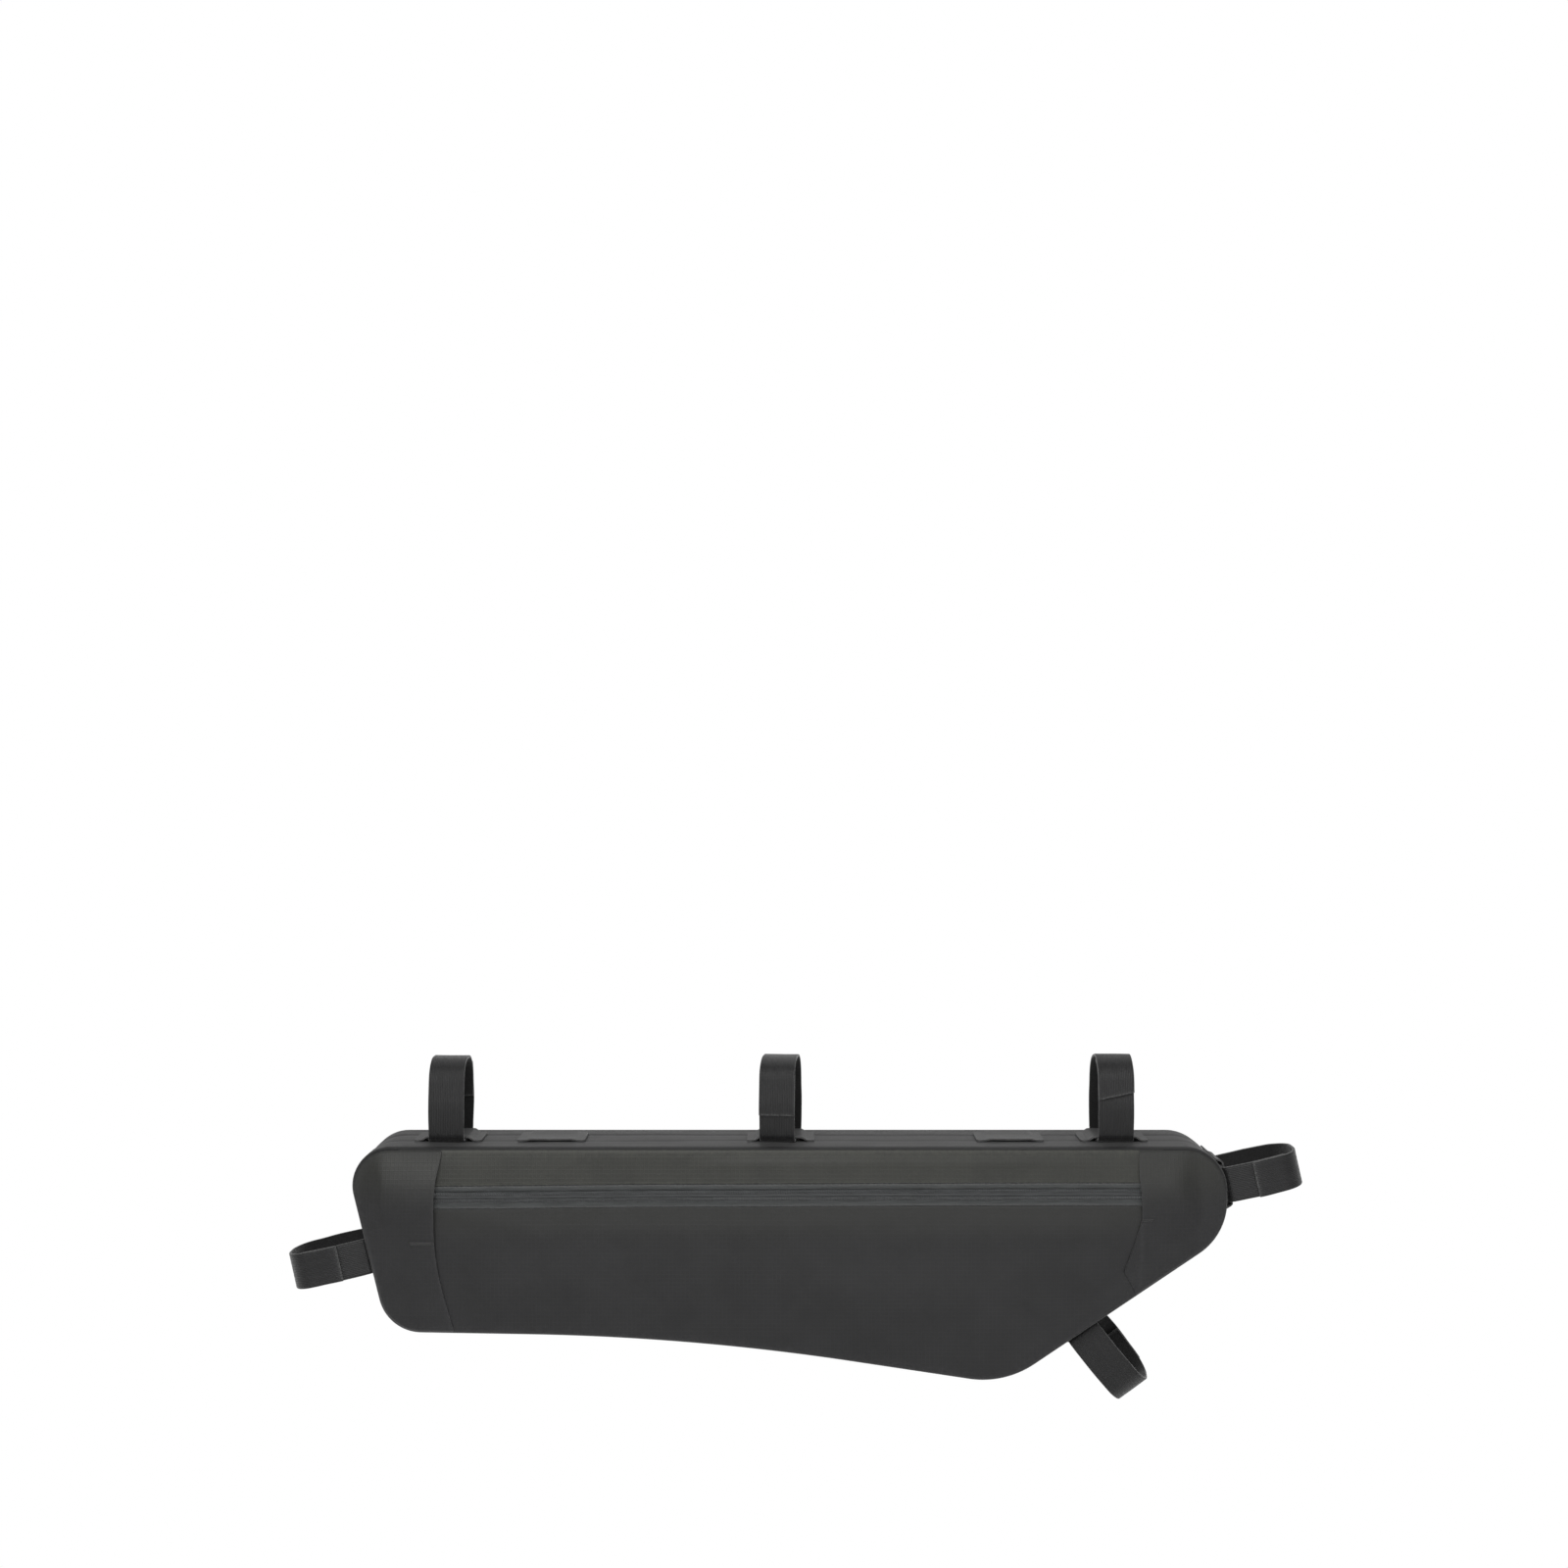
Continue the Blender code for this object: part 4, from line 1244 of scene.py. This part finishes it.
def build_strap(row, ribbed, fleecy):
    """A hook-and-loop band closed on itself: ribbed outside, fleecy inside, fuzzy along its edges."""
    anchor = Anchor(row)
    name = f"{row.name}_strap"
    loop, where, layer = strap_path(row, 1.2 * MM)
    section = strap_section()
    across = np.array([v for v, _, _ in section])
    over = np.array([h for _, h, _ in section])
    fuzz = np.array([f for _, _, f in section])
    tail = smooth(where, where[-1] - 22 * MM, where[-1])
    stations = where[:, None] + tail[:, None] * across[None] * math.tan(math.radians(row.slant))
    point, normal = loop.at(stations)
    seed = 60 + len(row.name)
    wobble = ripple(where[:, None] / 0.014, across[None] / 0.012, seed) * 0.12 * MM
    place = point + normal * (layer[:, None] + over[None] + wobble)[..., None]
    edge = across * (1 + 0.012 * ripple(where / 0.009, where * 0 + 0.5, seed + 1))[:, None]
    local = np.stack([place[..., 0], place[..., 1] + sizes().strap_thickness, edge], -1)
    lean = Matrix.Rotation(math.radians(row.twist), 3, "Y")
    local = local @ np.array(lean).T
    out, side = anchor.outward, anchor.along
    base = anchor.point + out * anchor.base
    world = np.stack(
        [
            base.x + local[..., 1] * out.x + local[..., 2] * side.x,
            local[..., 0],
            base.y + local[..., 1] * out.y + local[..., 2] * side.y,
        ],
        -1,
    )
    rows, cols = world.shape[:2]
    index = np.arange(rows * cols).reshape(rows, cols)
    after = np.roll(index, -1, axis=1)
    quads = np.stack([index[:-1], after[:-1], after[1:], index[1:]], -1)
    kinds = np.broadcast_to((np.arange(cols) < FLEECE_COLUMNS)[None], quads.shape[:2]).astype(int)
    faces = quads.reshape(-1, 4).tolist()
    mesh = bpy.data.meshes.new(name)
    mesh.from_pydata(world.reshape(-1, 3).tolist(), [], faces)
    fill = bmesh.new()
    fill.from_mesh(mesh)
    bmesh.ops.holes_fill(fill, edges=fill.edges, sides=0)
    bmesh.ops.triangulate(fill, faces=[f for f in fill.faces if len(f.verts) > 4])
    fill.to_mesh(mesh)
    fill.free()
    layer_uv = mesh.uv_layers.new(name="cloth")
    ids = np.zeros(len(mesh.loops), np.int32)
    mesh.loops.foreach_get("vertex_index", ids)
    flat = np.stack(np.broadcast_arrays(where[:, None], across + np.zeros((rows, cols))), -1)
    layer_uv.data.foreach_set("uv", flat.reshape(-1, 2)[ids].reshape(-1).astype(np.float32))
    mask = mesh.attributes.new("worn", "FLOAT", "POINT")
    ends = sum(np.exp(-(((where - where[at]) / (0.8 * MM)) ** 2)) for at in (0, -1))
    worn = np.clip(fuzz[None] + 0.7 * ends[:, None], 0, 1)
    mask.data.foreach_set("value", worn.reshape(-1).astype(np.float32))
    slots = np.zeros(len(mesh.polygons), np.int32)
    slots[: kinds.size] = kinds.reshape(-1)
    mesh.polygons.foreach_set("material_index", slots)
    tidy_mesh(mesh, 60)
    place_piece(name, mesh, [ribbed, fleecy], [name])


# ---------------------------------------------------------------- operators


class FRAMEBAG_OT_gusset(Operator):
    """Build the band between the two side panels."""

    bl_idname = "framebag.gusset"
    bl_label = "Gusset"

    def execute(self, context):
        # The gusset's darker colour is painted shade on the band that faces up.
        build_gusset(coated_cloth("Gusset cloth", colours().gusset, rough=0.52, grid=0.25))
        return {"FINISHED"}


class FRAMEBAG_OT_side_panels(Operator):
    """Build the back panel and the two front panels beside the zip."""

    bl_idname = "framebag.side_panels"
    bl_label = "Side panels"

    def execute(self, context):
        tone = colours()
        build_back_panel(coated_cloth("Back cloth", tone.body))
        # The upper panel is drawn all in the painted highlight tone.
        build_upper_panel(coated_cloth("Upper cloth", tone.highlight_olive))

        # Painted highlight: the lower panel's upper part, next to the zip, turns partly to the lighter tone.
        def lit_near_zip(t, cloth):
            _, z, _ = t.split(cloth)
            return t.math("MULTIPLY", t.ramp(z, ZIP_HEIGHT - 0.030, ZIP_HEIGHT - 0.008), 0.45)

        build_lower_panel(coated_cloth("Lower cloth", tone.body, tone.highlight_olive, lit_near_zip))
        return {"FINISHED"}


class FRAMEBAG_OT_end_panels(Operator):
    """Build the two panels that lap over the ends of the zip."""

    bl_idname = "framebag.end_panels"
    bl_label = "End panels"

    def execute(self, context):
        tone = colours()

        # Painted highlight: the end panels turn to the lighter tone towards the top, where light falls from
        # above and in front.
        def lit_towards_top(t, cloth):
            _, z, _ = t.split(cloth)
            return t.math("MULTIPLY", t.ramp(z, ZIP_HEIGHT - 0.012, TOP - 0.008), 0.75)

        cloth = coated_cloth("End cloth", tone.body, tone.highlight_olive, lit_towards_top)
        build_end_panel("rear_end_panel", REAR_FLAP, SPINE[0][0], rear_lift, cloth, 15)
        build_end_panel("head_end_panel", HEAD_FLAP, SPINE[1][0], head_lift, cloth, 17)
        return {"FINISHED"}


class FRAMEBAG_OT_zip(Operator):
    """Build the zip's tape, coil and slider."""

    bl_idname = "framebag.zip"
    bl_label = "Zip"

    def execute(self, context):
        tone = colours()
        tape = webbing("Zip tape", tone.zip_tape, 0.0007, 0.0009, (0.12, 0.12, 0.12), rough=0.6, slant=0.6)
        coil = webbing(
            "Zip coil", tone.zip_coil, 0.0012, COIL_PITCH, (0.10, 0.10, 0.10), rough=0.45, depth=0.00005
        )
        build_zip(tape, coil, painted_metal("Zip slider", tone.slider))
        return {"FINISHED"}


class FRAMEBAG_OT_patches(Operator):
    """Build the eight patches that hold straps."""

    bl_idname = "framebag.patches"
    bl_label = "Strap patches"

    def execute(self, context):
        cloth = coated_cloth("Patch cloth", colours().patch, rough=0.5, grid=0.3)
        for values in ANCHORS:
            build_patch(Row(ANCHOR_COLUMNS, values), cloth)
        return {"FINISHED"}


class FRAMEBAG_OT_straps(Operator):
    """Build the six hook-and-loop straps."""

    bl_idname = "framebag.straps"
    bl_label = "Straps"

    def execute(self, context):
        ribbed = webbing("Strap ribs", colours().strap, 0.00095, 0.0006, (0.14, 0.14, 0.14), rough=0.42)
        fleecy = fleece("Strap nap", colours().nap)
        for values in ANCHORS:
            row = Row(ANCHOR_COLUMNS, values)
            if row.out:
                build_strap(row, ribbed, fleecy)
        return {"FINISHED"}


def area_light(name, place, aim, size, power):
    light = bpy.data.lights.new(name, "AREA")
    light.shape = "RECTANGLE"
    light.size, light.size_y = size
    light.energy = power
    obj = bpy.data.objects.new(name, light)
    obj.location = place
    obj.rotation_euler = (Vector(aim) - Vector(place)).to_track_quat("-Z", "Y").to_euler()
    bpy.context.scene.collection.objects.link(obj)
    return obj


class FRAMEBAG_OT_stage(Operator):
    """Set the pale sweep, the soft studio lights and the camera."""

    bl_idname = "framebag.stage"
    bl_label = "Stage"

    def execute(self, context):
        build_sweep()
        area_light("Key light", (-0.25, -1.5, 1.05), (0, 0, -0.07), (1.3, 0.55), 20.0)
        area_light("Low fill", (0.5, -1.9, 0.1), (0, 0, -0.08), (1.6, 0.9), 5.0)
        area_light("Top light", (0.1, 0.5, 1.1), (0, 0, -0.07), (1.0, 0.5), 3.0)
        world = bpy.data.worlds.new("Studio")
        world.use_nodes = True
        light_studio(world.node_tree)
        scene = bpy.context.scene
        scene.world = world
        scene.view_settings.view_transform = "Standard"
        camera = bpy.data.objects.new("Camera", bpy.data.cameras.new("Camera"))
        camera.data.lens = 45.4
        camera.data.sensor_width = 36.0
        camera.location = (0.0019, -1.130, 0.1777)
        camera.rotation_euler = (math.pi / 2, 0, 0)
        scene.collection.objects.link(camera)
        scene.camera = camera
        return {"FINISHED"}


def light_studio(tree):
    """White where the camera looks past the sweep, and a dim even glow for all other light."""
    t = Tree(tree)
    seen = tree.nodes.new("ShaderNodeLightPath")
    glow = t.math("MULTIPLY_ADD", seen.outputs["Is Camera Ray"], 1.0 - STUDIO_GLOW, STUDIO_GLOW)
    background = tree.nodes["Background"]
    background.inputs["Color"].default_value = (1, 1, 1, 1)
    t.link(glow, background.inputs["Strength"])


def build_sweep():
    """A pale floor that curves up into a backdrop."""
    profile = [(-3.0, 0.0), (1.2, 0.0)]
    profile += [(1.2 + 0.9 * math.sin(a), 0.9 - 0.9 * math.cos(a)) for a in np.linspace(0.1, math.pi / 2, 14)]
    profile.append((2.1, 3.2))
    low = CAD_BOX[0][2] - 0.10
    mesh = bpy.data.meshes.new("Sweep")
    points = [(x, y, z + low) for y, z in profile for x in (-3.5, 3.5)]
    faces = [(2 * i, 2 * i + 1, 2 * i + 3, 2 * i + 2) for i in range(len(profile) - 1)]
    mesh.from_pydata(points, [], faces)
    for face in mesh.polygons:
        face.use_smooth = True
    material = bpy.data.materials.new("Sweep paper")
    material.use_nodes = True
    shader = material.node_tree.nodes["Principled BSDF"]
    shader.inputs["Base Color"].default_value = (0.90, 0.90, 0.90, 1)
    shader.inputs["Roughness"].default_value = 0.9
    seen = material.node_tree.nodes.new("ShaderNodeLightPath")
    white = material.node_tree.nodes.new("ShaderNodeEmission")
    mixed = material.node_tree.nodes.new("ShaderNodeMixShader")
    t = Tree(material.node_tree)
    t.link(seen.outputs["Is Camera Ray"], mixed.inputs[0])
    t.link(shader.outputs["BSDF"], mixed.inputs[1])
    t.link(white.outputs["Emission"], mixed.inputs[2])
    t.link(mixed.outputs[0], material.node_tree.nodes["Material Output"].inputs["Surface"])
    mesh.materials.append(material)
    obj = bpy.data.objects.new("Sweep", mesh)
    bpy.context.scene.collection.objects.link(obj)


OPERATORS = (
    FRAMEBAG_OT_gusset,
    FRAMEBAG_OT_side_panels,
    FRAMEBAG_OT_end_panels,
    FRAMEBAG_OT_zip,
    FRAMEBAG_OT_patches,
    FRAMEBAG_OT_straps,
    FRAMEBAG_OT_stage,
)


class FRAMEBAG_PT_panel(Panel):
    """Lists the bag's sizes, colours and steps."""

    bl_idname = "FRAMEBAG_PT_panel"
    bl_label = "Frame Bag"
    bl_space_type = "VIEW_3D"
    bl_region_type = "UI"
    bl_category = "Frame Bag"

    def draw(self, context):
        for settings in (context.scene.frame_bag_sizes, context.scene.frame_bag_colours):
            for label in settings.__annotations__:
                self.layout.prop(settings, label)
        for operator in OPERATORS:
            self.layout.operator(operator.bl_idname)


CLASSES = (FrameBagSizes, FrameBagColours, *OPERATORS, FRAMEBAG_PT_panel)


def register():
    for cls in CLASSES:
        bpy.utils.register_class(cls)
    bpy.types.Scene.frame_bag_sizes = PointerProperty(type=FrameBagSizes)
    bpy.types.Scene.frame_bag_colours = PointerProperty(type=FrameBagColours)


def unregister():
    del bpy.types.Scene.frame_bag_colours
    del bpy.types.Scene.frame_bag_sizes
    for cls in reversed(CLASSES):
        bpy.utils.unregister_class(cls)


def main():
    register()
    bpy.ops.framebag.gusset()
    bpy.ops.framebag.side_panels()
    bpy.ops.framebag.end_panels()
    bpy.ops.framebag.zip()
    bpy.ops.framebag.patches()
    bpy.ops.framebag.straps()
    bpy.ops.framebag.stage()


if __name__ == "__main__":
    main()
